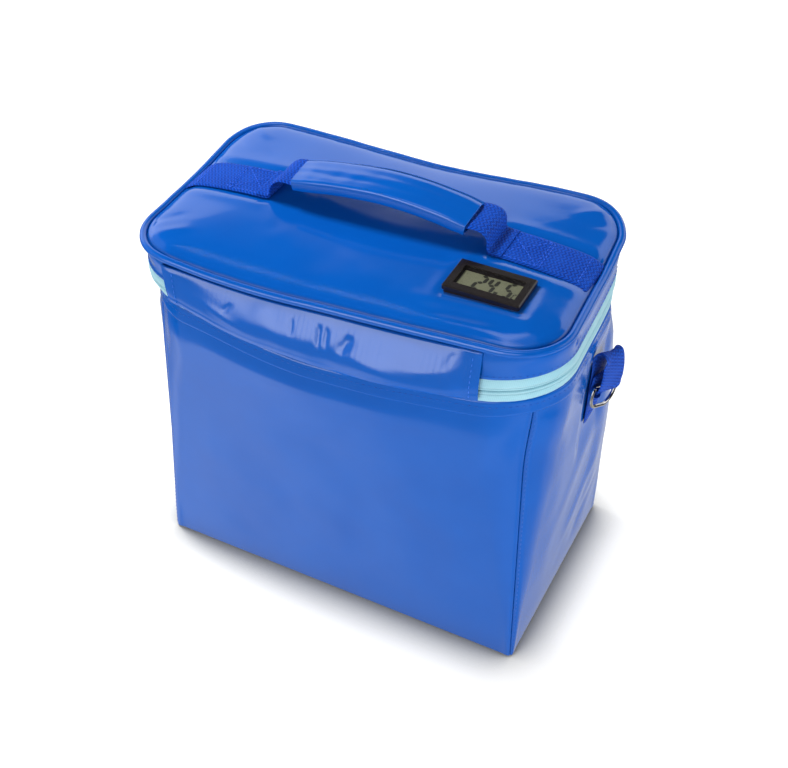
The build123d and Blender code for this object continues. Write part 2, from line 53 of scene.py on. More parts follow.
# ---------------------------------------------------------------------------
# camera: the photograph's view, for a 788 x 768 frame
# ---------------------------------------------------------------------------
cam_data = bpy.data.cameras.new("camera")
cam_data.sensor_width = 36.0
cam_data.lens = 60.11
cam_data.clip_start, cam_data.clip_end = 0.01, 60.0
camera = bpy.data.objects.new("camera", cam_data)
bpy.context.scene.collection.objects.link(camera)
AZ, EL, ROLL = math.radians(27.44), math.radians(41.70), math.radians(-0.645)
back = Vector((math.sin(AZ) * math.cos(EL), -math.cos(AZ) * math.cos(EL), math.sin(EL)))
forward = -back
right = forward.cross(Vector((0, 0, 1))).normalized()
up = right.cross(forward).normalized()
right_r = right * math.cos(ROLL) + up * math.sin(ROLL)
up_r = up * math.cos(ROLL) - right * math.sin(ROLL)
target = Vector((-0.00253, 0.01973, 0.11375))
m = Matrix((right_r, up_r, back)).transposed().to_4x4()
m.translation = target + back * 0.92312
camera.matrix_world = m
bpy.context.scene.camera = camera
bpy.context.scene.view_settings.view_transform = "Standard"
bpy.context.scene.view_settings.look = "None"


# ---------------------------------------------------------------------------
# small helpers
# ---------------------------------------------------------------------------
def smooth(a, b, x):
    t = np.clip((np.asarray(x, float) - a) / (b - a), 0.0, 1.0)
    return t * t * (3 - 2 * t)


def hill(x, centre, half):
    """1 at the centre, 0 a half width away."""
    t = np.clip(1 - np.abs((np.asarray(x, float) - centre) / half), 0, 1)
    return t * t * (3 - 2 * t)


def wave(x, y, size, seed):
    """Smooth wandering field from -1 to 1 with features about size millimetres wide."""
    x, y = np.asarray(x, float), np.asarray(y, float)
    out = np.zeros(np.broadcast(x, y).shape)
    for i in range(7):
        a = 2.399963 * (i + 1) + seed * 1.7
        f = 2 * math.pi / size * (0.55 + 0.17 * i)
        ph = math.fmod(seed * 12.9898 + i * 78.233, 6.2831)
        out = out + np.sin((x * math.cos(a) + y * math.sin(a)) * f + ph
                           + 1.3 * np.sin((y * math.cos(a) - x * math.sin(a)) * f * 0.6 + ph * 2)) / (1 + 0.35 * i)
    return out / 3.2


def link(o):
    bpy.context.scene.collection.objects.link(o)
    return o


def make_mesh(name, verts, faces, mat, uv=None, smooth_shade=True):
    """verts in millimetres; uv is one pair for each face corner, in centimetres of cloth."""
    me = bpy.data.meshes.new(name)
    verts = np.asarray(verts, float) * MM
    faces = [tuple(int(i) for i in f) for f in faces]
    me.from_pydata(verts.tolist(), [], faces)
    if uv is not None:
        layer = me.uv_layers.new(name="UVMap")
        layer.data.foreach_set("uv", np.asarray(uv, np.float32).ravel())
    me.polygons.foreach_set("use_smooth", [smooth_shade] * len(me.polygons))
    me.validate()
    me.update()
    if mat is not None:
        me.materials.append(mat)
    return link(bpy.data.objects.new(name, me))


def grid_faces(nu, nv, wrap_u=False, wrap_v=False, flip=False):
    faces, keys = [], []
    for i in range(nu if wrap_u else nu - 1):
        for j in range(nv if wrap_v else nv - 1):
            i2, j2 = i + 1, j + 1
            a, b = (i % nu) * nv + j % nv, (i2 % nu) * nv + j % nv
            c, d = (i2 % nu) * nv + j2 % nv, (i % nu) * nv + j2 % nv
            q, k = (a, b, c, d), ((i, j), (i2, j), (i2, j2), (i, j2))
            if flip:
                q, k = q[::-1], k[::-1]
            faces.append(q)
            keys.append(k)
    return faces, keys


def grid_mesh(name, P, mat, wrap_u=False, wrap_v=False, flip=False, uv=None, extra=None):
    """P is (nu, nv, 3) in mm; uv is (nu + wrap, nv + wrap, 2) in mm."""
    P = np.asarray(P, float)
    nu, nv = P.shape[:2]
    faces, keys = grid_faces(nu, nv, wrap_u, wrap_v, flip)
    if uv is None:
        du = np.linalg.norm(np.diff(np.concatenate([P, P[:1]]), axis=0), axis=2).mean(axis=1)
        dv = np.linalg.norm(np.diff(np.concatenate([P, P[:, :1]], axis=1), axis=1), axis=2).mean(axis=0)
        su, sv = np.concatenate([[0], np.cumsum(du)]), np.concatenate([[0], np.cumsum(dv)])
        uv = np.stack(np.meshgrid(su, sv, indexing="ij"), axis=2)
    loops = np.array([uv[i, j] for k in keys for i, j in k]) / 10.0
    return make_mesh(name, P.reshape(-1, 3), faces, mat, loops)


def merge_close(o, dist=0.02):
    import bmesh
    bm = bmesh.new()
    bm.from_mesh(o.data)
    bmesh.ops.remove_doubles(bm, verts=bm.verts, dist=dist * MM)
    bmesh.ops.dissolve_degenerate(bm, dist=1e-6, edges=bm.edges)
    bm.to_mesh(o.data)
    bm.free()
    o.data.update()


def solidify(o, thick, offset=-1.0, rim=True):
    md = o.modifiers.new("thickness", "SOLIDIFY")
    md.thickness = thick * MM
    md.offset = offset
    md.use_even_offset = False
    md.use_rim = rim
    return md


def subsurf(o, levels=1):
    md = o.modifiers.new("smooth", "SUBSURF")
    md.levels = md.render_levels = levels
    return md


# ---------------------------------------------------------------------------
# materials
# ---------------------------------------------------------------------------
class Mat:
    def __init__(self, name):
        self.m = bpy.data.materials.new(name)
        self.m.use_nodes = True
        self.t = self.m.node_tree
        self.t.nodes.clear()
        self.out = self.t.nodes.new("ShaderNodeOutputMaterial")
        self.b = self.t.nodes.new("ShaderNodeBsdfPrincipled")
        self.t.links.new(self.b.outputs[0], self.out.inputs[0])

    def n(self, kind, **kw):
        node = self.t.nodes.new("ShaderNode" + kind)
        for k, v in kw.items():
            if k in ("operation", "blend_type", "data_type", "noise_dimensions", "wave_type", "bands_direction",
                     "wave_profile", "feature", "interpolation_type", "clamp"):
                setattr(node, k, v)
        return node

    def link(self, a, b):
        self.t.links.new(a, b)

    def put(self, socket, v):
        if isinstance(v, bpy.types.NodeSocket):
            self.link(v, socket)
        else:
            socket.default_value = v

    def math(self, op, a, b=0.0, c=None):
        node = self.n("Math", operation=op)
        self.put(node.inputs[0], a)
        self.put(node.inputs[1], b)
        if c is not None:
            self.put(node.inputs[2], c)
        return node.outputs[0]

    def noise(self, coord, scale, detail=2.0, rough=0.5):
        node = self.n("TexNoise")
        self.link(coord, node.inputs["Vector"])
        node.inputs["Scale"].default_value = scale
        node.inputs["Detail"].default_value = detail
        node.inputs["Roughness"].default_value = rough
        return node.outputs[0]

    def remap(self, v, a, b, c, d):
        node = self.n("MapRange")
        self.put(node.inputs[0], v)
        for i, x in enumerate((a, b, c, d)):
            node.inputs[1 + i].default_value = x
        return node.outputs[0]

    def mix(self, f, a, b):
        node = self.n("Mix", data_type="RGBA")
        self.put(node.inputs[0], f)
        self.put(node.inputs[6], a)
        self.put(node.inputs[7], b)
        return node.outputs[2]

    def bump(self, height, distance, strength=1.0, under=None):
        node = self.n("Bump")
        node.inputs["Strength"].default_value = strength
        node.inputs["Distance"].default_value = distance
        self.link(height, node.inputs["Height"])
        if under is not None:
            self.link(under, node.inputs["Normal"])
        return node.outputs[0]

    def coords(self):
        tc = self.n("TexCoord")
        return tc.outputs["Object"], tc.outputs["UV"]

    def uv_xy(self, uv):
        sep = self.n("SeparateXYZ")
        self.link(uv, sep.inputs[0])
        return sep.outputs[0], sep.outputs[1]


def rgb(r, g, b):
    return (r, g, b, 1.0)


def pvc_material(name, base, deep, rough=(0.13, 0.2), scrim=0.12):
    """Glossy coated fabric: a woven scrim shows faintly through a smooth skin."""
    M = Mat(name)
    ob, uv = M.coords()
    u, v = M.uv_xy(uv)
    big = M.noise(ob, 22.0, 3.0, 0.55)
    mid = M.noise(ob, 160.0, 3.0, 0.6)
    col = M.mix(M.remap(big, 0.3, 0.7, 0.0, 1.0), rgb(*base), rgb(*deep))
    M.link(col, M.b.inputs["Base Color"])
    M.link(M.remap(mid, 0.25, 0.75, rough[0], rough[1]), M.b.inputs["Roughness"])
    # scrim: threads 1.25 mm apart both ways, in centimetres of cloth
    su = M.math("SINE", M.math("MULTIPLY", u, 2 * math.pi / 0.125))
    sv = M.math("SINE", M.math("MULTIPLY", v, 2 * math.pi / 0.125))
    grid = M.math("ADD", su, sv)
    b1 = M.bump(grid, 0.000012 * scrim * 2, 1.0)
    b2 = M.bump(mid, 0.00012, 0.35, b1)
    M.link(b2, M.b.inputs["Normal"])
    M.b.inputs["IOR"].default_value = 1.54
    M.b.inputs["Specular IOR Level"].default_value = 0.5
    return M.m


PVC = pvc_material("coated_fabric", (0.0010, 0.082, 0.395), (0.0014, 0.074, 0.365), (0.09, 0.14))
PVC_DARK = pvc_material("coated_fabric_seam", (0.001, 0.06, 0.40), (0.001, 0.05, 0.36), (0.25, 0.35))


def webbing_material():
    M = Mat("webbing")
    ob, uv = M.coords()
    u, v = M.uv_xy(uv)                       # u across the strap, v along it, in cm
    # herringbone: rows of yarn 1.6 mm wide across, lean alternating
    col_w = 0.40
    cell = M.math("MULTIPLY", u, 1 / col_w)
    tri = M.math("ABSOLUTE", M.math("SUBTRACT", M.math("FRACT", cell), 0.5))
    ph = M.math("ADD", M.math("MULTIPLY", v, 2 * math.pi / 0.25), M.math("MULTIPLY", tri, 9.0))
    rib = M.math("SINE", ph)
    yarn = M.math("SINE", M.math("MULTIPLY", u, 2 * math.pi / 0.133))
    h = M.math("ADD", M.math("MULTIPLY", rib, 0.7), M.math("MULTIPLY", yarn, 0.35))
    fuzz = M.noise(ob, 900.0, 2.0, 0.6)
    big = M.noise(ob, 60.0, 2.0, 0.5)
    # painted shade of the weave: its hollows take the dark colour and its ridges the light one
    h01 = M.remap(h, -1.05, 1.05, 0.0, 1.0)
    col = M.mix(h01, rgb(0.0006, 0.010, 0.12), rgb(0.004, 0.078, 0.54))
    col2 = M.mix(M.remap(big, 0.3, 0.7, 0.0, 0.3), col, rgb(0.010, 0.090, 0.54))
    M.link(col2, M.b.inputs["Base Color"])
    M.b.inputs["Roughness"].default_value = 0.68
    M.b.inputs["Specular IOR Level"].default_value = 0.2
    M.b.inputs["Sheen Weight"].default_value = 0.03
    M.b.inputs["Sheen Roughness"].default_value = 0.4
    M.b.inputs["Sheen Tint"].default_value = rgb(0.35, 0.45, 1.0)
    b1 = M.bump(h, 0.00016, 1.0)
    b2 = M.bump(fuzz, 0.00012, 0.35, b1)
    M.link(b2, M.b.inputs["Normal"])
    return M.m


WEB = webbing_material()


def zip_material():
    M = Mat("zip_tape")
    ob, uv = M.coords()
    u, v = M.uv_xy(uv)                       # u along the zip, v across
    diag = M.math("SINE", M.math("ADD", M.math("MULTIPLY", u, 2 * math.pi / 0.11), M.math("MULTIPLY", v, 18.0)))
    rib = M.math("SINE", M.math("MULTIPLY", v, 2 * math.pi / 0.09))
    h = M.math("ADD", M.math("MULTIPLY", diag, 0.6), M.math("MULTIPLY", rib, 0.5))
    big = M.noise(ob, 45.0, 2.0, 0.5)
    # painted shade of the weave: the hollows between the ribs take the darker colour, the ridges the lighter
    c = M.mix(M.remap(h, -1.1, 1.1, 0.0, 1.0), rgb(0.17, 0.39, 0.48), rgb(0.27, 0.51, 0.60))
    c2 = M.mix(M.remap(big, 0.3, 0.7, 0.0, 0.35), c, rgb(0.35, 0.58, 0.65))
    M.link(c2, M.b.inputs["Base Color"])
    M.b.inputs["Roughness"].default_value = 0.45
    M.b.inputs["Sheen Weight"].default_value = 0.15
    M.link(M.bump(h, 0.00004, 1.0), M.b.inputs["Normal"])
    return M.m


ZIP = zip_material()


def plain_material(name, a, b, rough, metallic=0.0, grain=300.0, bump=0.00003, spec=None, coat=None):
    M = Mat(name)
    ob, uv = M.coords()
    n1 = M.noise(ob, grain, 3.0, 0.6)
    n2 = M.noise(ob, grain * 0.12, 2.0, 0.5)
    M.link(M.mix(M.remap(n2, 0.3, 0.7, 0.0, 1.0), rgb(*a), rgb(*b)), M.b.inputs["Base Color"])
    M.link(M.remap(n1, 0.25, 0.75, rough[0], rough[1]), M.b.inputs["Roughness"])
    M.b.inputs["Metallic"].default_value = metallic
    if bump:
        M.link(M.bump(n1, bump, 0.5), M.b.inputs["Normal"])
    if coat:
        M.b.inputs["Coat Weight"].default_value = coat
        M.b.inputs["Coat Roughness"].default_value = 0.05
    return M.m


THREAD = plain_material("thread_blue", (0.02, 0.16, 0.66), (0.015, 0.12, 0.58), (0.45, 0.6), grain=2500.0)
THREAD_DARK = plain_material("thread_dark_blue", (0.004, 0.085, 0.43), (0.003, 0.07, 0.38), (0.45, 0.6), grain=2500.0)
THREAD_WEB = plain_material("thread_webbing", (0.03, 0.13, 0.70), (0.02, 0.10, 0.62), (0.5, 0.65), grain=2500.0)
COIL = plain_material("zip_coil", (0.30, 0.62, 0.68), (0.24, 0.56, 0.63), (0.3, 0.4), grain=900.0)
LINER = plain_material("liner_film", (0.66, 0.70, 0.73), (0.60, 0.64, 0.68), (0.28, 0.42), grain=120.0, bump=0.00012)
FOAM = plain_material("foam_closed_cell", (0.80, 0.82, 0.83), (0.72, 0.75, 0.77), (0.75, 0.9), grain=900.0, bump=0.0002)
BOARD = plain_material("stiffener_board", (0.05, 0.052, 0.058), (0.04, 0.042, 0.048), (0.4, 0.55), grain=500.0)
BLACK = plain_material("black_plastic", (0.006, 0.0045, 0.005), (0.010, 0.007, 0.007), (0.16, 0.26), grain=1400.0, bump=0.00002)
METAL = plain_material("slider_metal", (0.62, 0.62, 0.63), (0.50, 0.50, 0.52), (0.2, 0.34), metallic=1.0, grain=700.0)
RING = plain_material("ring_metal", (0.78, 0.77, 0.75), (0.66, 0.65, 0.63), (0.1, 0.2), metallic=1.0, grain=500.0, bump=0.00001)
CELL = plain_material("cell_steel", (0.6, 0.6, 0.6), (0.5, 0.5, 0.5), (0.25, 0.35), metallic=1.0, grain=500.0)
PCB = plain_material("pcb_green", (0.01, 0.09, 0.03), (0.015, 0.12, 0.04), (0.3, 0.45), grain=600.0)
RUBBER = plain_material("grommet_rubber", (0.012, 0.012, 0.013), (0.02, 0.02, 0.021), (0.55, 0.7), grain=900.0)
LCD = plain_material("lcd_panel", (0.235, 0.245, 0.155), (0.205, 0.215, 0.135), (0.3, 0.4), grain=60.0, bump=0)
SEGMENT = plain_material("lcd_segment", (0.012, 0.013, 0.010), (0.016, 0.017, 0.012), (0.4, 0.5), grain=60.0, bump=0)
HINGE_CLOTH = PVC


def window_material():
    """Thin clear pane: mostly see-through, with a plain surface sheen."""
    M = Mat("clear_window")
    ob, uv = M.coords()
    n1 = M.noise(ob, 80.0, 2.0, 0.5)
    M.b.inputs["Base Color"].default_value = rgb(0.02, 0.02, 0.02)
    M.b.inputs["Alpha"].default_value = 0.14
    M.b.inputs["IOR"].default_value = 1.49
    M.link(M.remap(n1, 0.2, 0.8, 0.03, 0.08), M.b.inputs["Roughness"])
    return M.m


WINDOW = window_material()

# ---------------------------------------------------------------------------
# outlines
# ---------------------------------------------------------------------------
body_h = 225.0
base_w, base_d, base_r = 270.0, 158.0, 2.0
top_w, top_d, top_r = 284.0, 161.0, 45.0


def arc(cx, cy, r, a0, a1, n):
    a = np.radians(np.linspace(a0, a1, n))
    return np.stack([cx + r * np.cos(a), cy + r * np.sin(a)], axis=1), np.stack([np.cos(a), np.sin(a)], axis=1)


def outline(w, d, r, nc=12, step=3.0, half=None):
    """Closed outline from the middle of the front, counter-clockwise seen from above.
    Returns points, outward normals and running length, always with the same number of points."""
    hw, hd = w / 2, d / 2
    nx, ny = max(2, int(round((284 - 2 * 40) / step))), max(2, int(round((161 - 2 * 40) / step)))
    nx += nx % 2
    pts, nrm = [], []

    def straight(p, q, n, normal):
        t = np.linspace(0, 1, n + 1)[1:-1]
        for k in t:
            pts.append(np.array(p) * (1 - k) + np.array(q) * k)
            nrm.append(np.array(normal, float))

    def corner(cx, cy, a0):
        P, N = arc(cx, cy, r, a0, a0 + 90, nc + 1)
        pts.extend(P)
        nrm.extend(N)

    pts.append(np.array([0.0, -hd])); nrm.append(np.array([0.0, -1.0]))
    straight((0, -hd), (hw - r, -hd), nx // 2, (0, -1))
    corner(hw - r, -hd + r, -90)
    straight((hw, -hd + r), (hw, hd - r), ny, (1, 0))
    corner(hw - r, hd - r, 0)
    straight((hw - r, hd), (-hw + r, hd), nx, (0, 1))
    corner(-hw + r, hd - r, 90)
    straight((-hw, hd - r), (-hw, -hd + r), ny, (-1, 0))
    corner(-hw + r, -hd + r, 180)
    straight((-hw + r, -hd), (0, -hd), nx // 2, (0, -1))
    P, N = np.array(pts), np.array(nrm)
    s = np.concatenate([[0], np.cumsum(np.linalg.norm(np.diff(np.concatenate([P, P[:1]]), axis=0), axis=1))])
    return P, N, s


# ---------------------------------------------------------------------------
# how the soft bag departs from its drawn shape: the front of the body bows
# out and sags under the flap, the lid's front left corner droops
# ---------------------------------------------------------------------------
def bow(x):
    return np.clip(1 - (np.asarray(x, float) / 113.0) ** 2, 0, 1)


# how far the lid, and the top edge of the body, hang below the drawn height:
# rows run from the left end to the right end, columns from front to back
DROOP_U = np.array([-1.0, -0.8, -0.55, -0.25, 0.0, 0.25, 0.55, 0.8, 1.0])
DROOP_V = np.array([-1.0, -0.4, 0.2, 0.65, 1.0])
DROOP_LID = np.array([[-8.6, -9.7, -9.8, -7.0, -2.6], [-8.4, -8.6, -7.4, -5.1, -2.6], [-10.8, -6.8, -4.4, -3.7, -2.9],
                      [-10.1, -5.6, -3.3, -3.3, -4.4], [-6.8, -3.9, -2.3, -2.8, -5.0], [-4.3, -2.0, -0.7, -1.2, -3.0],
                      [-1.1, -0.2, 0.3, 0.7, 1.4], [1.2, 0.2, -0.2, 0.9, 3.2], [2.8, 0.4, -1.8, 0.6, 4.4]])
DROOP_RIM = np.array([[-6.0, -7.2, -8.0, -5.5, -1.5], [-4.4, -6.0, -6.2, -4.2, -2.0], [-4.2, -4.8, -3.9, -3.4, -2.6],
                      [-9.6, -5.9, -3.6, -3.5, -4.4], [-10.2, -5.6, -3.2, -3.3, -5.0], [-7.4, -4.2, -1.9, -1.9, -3.1],
                      [-2.0, -1.9, -0.5, 0.1, 1.1], [1.2, 0.0, -0.6, 0.8, 2.9], [4.6, 2.0, -1.6, 0.8, 4.4]])
GU, GV = np.linspace(-1.3, 1.3, 27), np.linspace(-1.3, 1.3, 21)


def spread(table):
    """The table on an even grid, as control heights of a smooth surface."""
    rows_ = np.array([np.interp(GV, DROOP_V, r) for r in table])
    return np.array([np.interp(GU, DROOP_U, c) for c in rows_.T]).T


GRID_LID, GRID_RIM = spread(DROOP_LID), spread(DROOP_RIM)


def on_grid(G_, u, v):
    """Smooth (cubic B-spline) height of the grid at u, v."""
    fu = np.clip((u - GU[0]) / (GU[1] - GU[0]), 1.0, len(GU) - 2.001)
    fv = np.clip((v - GV[0]) / (GV[1] - GV[0]), 1.0, len(GV) - 2.001)
    iu, iv = np.floor(fu).astype(int), np.floor(fv).astype(int)
    tu, tv = fu - iu, fv - iv

    def w4(t):
        return ((1 - t) ** 3 / 6, (3 * t ** 3 - 6 * t ** 2 + 4) / 6, (-3 * t ** 3 + 3 * t ** 2 + 3 * t + 1) / 6, t ** 3 / 6)

    wu, wv = w4(tu), w4(tv)
    out = 0.0
    for i in range(4):
        for j in range(4):
            out = out + wu[i] * wv[j] * G_[iu + i - 1, iv + j - 1]
    return out


Z_FALL = np.array([0, 110, 150, 180, 200, 215, 225, 400])
FALL = np.array([0, 0.0, 0.10, 0.36, 0.62, 0.86, 1.0, 1.0])
Z_BOW = np.array([0, 40, 90, 150, 190, 203, 208, 216, 225, 233, 241, 252, 262, 300])
Y_BOW = np.array([0, 0.0, 0.8, 3.0, 6.6, 8.8, 8.9, 7.9, 6.9, 6.2, 5.0, 2.6, 1.7, 1.2])


def settle(P, lid_part=True):
    """Moves drawn points (..., 3) to where the soft piece lies."""
    P = np.array(P, float)
    shape = P.shape
    P = P.reshape(-1, 3)
    x, y, z = P[:, 0].copy(), P[:, 1].copy(), P[:, 2].copy()
    u, v = x / 142.0, y / 80.5
    fall = np.interp(z, Z_FALL, FALL)
    k = smooth(231, 256, z)
    rim, lid_ = on_grid(GRID_RIM, u, v), on_grid(GRID_LID, u, v)
    # the zip runs level past the sliders, in the middle of the left side
    level = smooth(-71, -40, y) * (1 - smooth(40, 74, y)) * smooth(-104, -128, x) * np.interp(z, [120, 200, 242, 256], [0, 1, 1, 0])
    P[:, 2] += fall * (rim * (1 - k) + lid_ * k) * (1 - level)
    # and the hem lies a little in there, clear of the pulls
    P[:, 0] += 1.6 * smooth(-56, -34, y) * (1 - smooth(34, 56, y)) * smooth(-128, -138, x) * np.interp(z, [204, 212, 224, 230], [0, 1, 1, 0])
    # the lid is skewed a little on the body
    vs = np.clip(v, -1.05, 1.05)
    kl, kr = smooth(0.0, -1.0, u), smooth(0.0, 1.0, u)
    hx = smooth(165, 235, z)
    P[:, 0] += hx * ((-2.4 * vs) * kl + (0.35 - 5.4 * vs) * kr)
    # the body is drawn in under the zip at its front left and back right corners
    kl = smooth(-0.05, -0.65, v) * smooth(-0.5, -0.9, u)
    P[:, 0] += kl * np.interp(z, [0, 20, 60, 95, 165, 224, 228, 232, 242, 248], [0, 0.8, 2.4, 3.8, 4.8, 5.0, 2.2, -2.2, -2.4, 0])
    kr = smooth(0.36, 0.62, v) * smooth(0.5, 0.9, u)
    P[:, 0] += kr * np.interp(z, [0, 60, 120, 165, 190, 205, 224, 229, 234, 240], [0, 1.5, 2.2, 1.2, -1.2, -3.4, -4.6, -2.6, -0.6, 0])
    # front bow
    P[:, 1] -= np.interp(z, Z_BOW, Y_BOW) * bow(x) * smooth(-45.0, -78.0, y)
    # the back bows a little too
    kb = bow(x) * smooth(50.0, 79.0, y)
    P[:, 1] += np.interp(z, [0, 60, 200, 300], [0, 0.3, 1.2, 0.6]) * kb
    return P.reshape(shape)


# ---------------------------------------------------------------------------
# body panels
# ---------------------------------------------------------------------------
def body_dims(z):
    k = z / body_h
    return (base_w + (top_w - base_w) * k, base_d + (top_d - base_d) * k, base_r + (top_r - base_r) * k)


def side_path(side, z, off=0.0):
    """Dense outline of one panel at height z, from seam to seam, with outward normals."""
    w, d, r = body_dims(z)
    w, d, r = w + 2 * off, d + 2 * off, max(r + off, 0.6)
    hw, hd = w / 2, d / 2
    mid = {"front": -90, "right": 0, "back": 90, "left": 180}[side]
    parts, norms = [], []
    cs = {"front": ((-hw + r, -hd + r), (hw - r, -hd + r)), "right": ((hw - r, -hd + r), (hw - r, hd - r)),
          "back": ((hw - r, hd - r), (-hw + r, hd - r)), "left": ((-hw + r, hd - r), (-hw + r, -hd + r))}[side]
    a, an = arc(cs[0][0], cs[0][1], r, mid - 45, mid, 16)
    b, bn = arc(cs[1][0], cs[1][1], r, mid, mid + 45, 16)
    t = np.linspace(0, 1, 60)[1:-1, None]
    s = a[-1] * (1 - t) + b[0] * t
    P = np.concatenate([a, s, b])
    N = np.concatenate([an, np.repeat(an[-1:], len(s), axis=0), bn])
    L = np.concatenate([[0], np.cumsum(np.linalg.norm(np.diff(P, axis=0), axis=1))])
    return P, N, L


EDGE_D = np.array([0, 0.35, 0.7, 1.1, 1.6, 2.2, 3.0, 4.0, 5.4, 7.2, 9.6, 12.5])


def panel_columns(L, step=2.7):
    n = int(round((L - 2 * EDGE_D[-1]) / step))
    return n


SIDE_LEN = {"front": 264.0, "back": 264.0, "left": 152.0, "right": 152.0}
Z_ROWS = np.concatenate([[0, 0.2, 0.55, 1.0, 1.6, 2.6, 4.2, 6.5], np.arange(9.5, 196, 3.6),
                         np.arange(197.5, 214, 1.6), [214.6, 215.4, 216.2, 217.2, 218.6, 220.2, 221.8, 223.2, 224.2, 225.0]])


def panel_points(side, off=0.0, rows=None, tuck=True):
    rows = Z_ROWS if rows is None else rows
    ncol = int(round((SIDE_LEN[side] - 2 * EDGE_D[-1]) / 2.7))
    out, uv = [], []
    for z in rows:
        P, N, L = side_path(side, z, off)
        total = L[-1]
        inner = np.linspace(EDGE_D[-1], total - EDGE_D[-1], ncol + 1)
        s = np.concatenate([EDGE_D[:-1], inner, (total - EDGE_D[:-1])[::-1]])
        x, y = np.interp(s, L, P[:, 0]), np.interp(s, L, P[:, 1])
        nx, ny = np.interp(s, L, N[:, 0]), np.interp(s, L, N[:, 1])
        nn = np.hypot(nx, ny)
        nx, ny = nx / nn, ny / nn
        de = np.minimum(s, total - s)
        disp = np.zeros_like(s)
        if tuck:
            # rounded fold into the seam
            fl = (s < total / 2) if side == "front" else (s > total / 2) if side == "left" else np.zeros(len(s), bool)
            disp -= np.where(fl, np.interp(z, [110, 170], [1.15, 0.2]), 1.15) * np.exp(-(de / 0.75) ** 1.4)
            disp += 0.35 * np.exp(-((de - 3.6) / 2.0) ** 2)
            # walls swell between the seams and lean in over their last 20 mm
            f = smooth(0, 46, de)
            full = np.interp(z, [0, 12, 70, 150, 188, 197, 201, 206, 225], [0, 0.6, 1.9, 3.2, 4.1, 4.2, 3.9, 3.2, 0.0])
            if side == "right":
                full = np.interp(z, [0, 12, 70, 150, 190, 201, 206, 225], [0, 0.6, 1.9, 3.0, 2.9, 2.5, 2.2, 0.3])
            if side == "left":
                full = full * 0.55
            f2 = smooth(0, 26, de)
            wz = float(smooth(166, 202, z))
            disp += full * (f * (1 - wz) + f2 * wz)
            if side == "back":
                disp -= 0.8 * np.interp(z, [0, 100, 200, 225], [0, 1.0, 1.0, 0.0]) * smooth(0, 46, de)
            # foot: the fabric turns under
            if z < 1.6:
                disp -= 1.6 - math.sqrt(max(0.0, 2.56 - (1.6 - z) ** 2))
            sc = s - total / 2
            seed = {"front": 3, "right": 11, "back": 23, "left": 31}[side]
            amp = smooth(4, 30, z) * smooth(2, 14, de)
            disp += amp * (0.42 * wave(sc, z, 95.0, seed) + 0.16 * wave(sc, z, 38.0, seed + 5))
            if side in ("left", "right"):
                # the sewn tab holds the wall flat behind it
                held = smooth(26, 15, np.abs(y - 15.5)) * smooth(118, 146, z) * (1 - smooth(200, 214, z))
                disp = disp * (1 - held) + 0.9 * held
                # creases fan down from the top of the front seam
                q = sc if side == "right" else -sc
                q = q + total / 2                       # 0 at the front seam
                for ang, a0, wdt, ln in ((22, 0.55, 3.2, 95), (38, 0.75, 3.0, 75), (53, 0.5, 3.2, 60), (9, 0.35, 3.5, 120)):
                    dx, dz = q - 2.0, 214.0 - z
                    ca, sa = math.cos(math.radians(90 - ang)), math.sin(math.radians(90 - ang))
                    along = dx * ca + dz * sa
                    off_ = -dx * sa + dz * ca
                    disp += a0 * np.exp(-(off_ / (wdt + 0.06 * np.clip(along, 0, 200))) ** 2) * smooth(2, 18, along) * (1 - smooth(ln * 0.5, ln, along))
                # a long soft diagonal across the lower half
                for (q0, z0, q1, z1, a0, wd) in ((70, 40, 132, 96, 0.9, 8.0), (92, 18, 140, 60, -0.7, 7.0), (30, 60, 118, 150, 0.55, 12.0)):
                    ex, ez = q1 - q0, z1 - z0
                    ln = math.hypot(ex, ez)
                    along = ((q - q0) * ex + (z - z0) * ez) / ln
                    off_ = ((q - q0) * ez - (z - z0) * ex) / ln
                    disp += a0 * np.exp(-(off_ / wd) ** 2) * smooth(0, ln * 0.35, along) * (1 - smooth(ln * 0.65, ln, along))
            if side == "front":
                for (x0, z0, x1, z1, a0, wd) in ((-118, 150, -96, 205, 0.45, 5.0), (112, 205, 96, 150, 0.35, 5.0), (-60, 196, 40, 188, 0.3, 7.0)):
                    ex, ez = x1 - x0, z1 - z0
                    ln = math.hypot(ex, ez)
                    along = ((sc - x0) * ex + (z - z0) * ez) / ln
                    off_ = ((sc - x0) * ez - (z - z0) * ex) / ln
                    disp += a0 * np.exp(-(off_ / wd) ** 2) * smooth(0, ln * 0.35, along) * (1 - smooth(ln * 0.65, ln, along))
        out.append(np.stack([x + nx * disp, y + ny * disp, np.full_like(s, z)], axis=1))
        uv.append(np.stack([s - total / 2, np.full_like(s, z)], axis=1))
    P = np.array(out).transpose(1, 0, 2)         # columns, rows
    if tuck:
        P[..., 2] = np.maximum(P[..., 2], 1.25)
    return settle(P), np.array(uv).transpose(1, 0, 2)


PANELS = {}
for side in ("front", "right", "back", "left"):
    P, uv = panel_points(side)
    o = grid_mesh("panel_" + side, P, PVC, uv=uv)
    solidify(o, 1.2)
    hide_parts("outer_%s_panel" % side)
    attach(o, "carrier_body")
    PANELS[side] = P

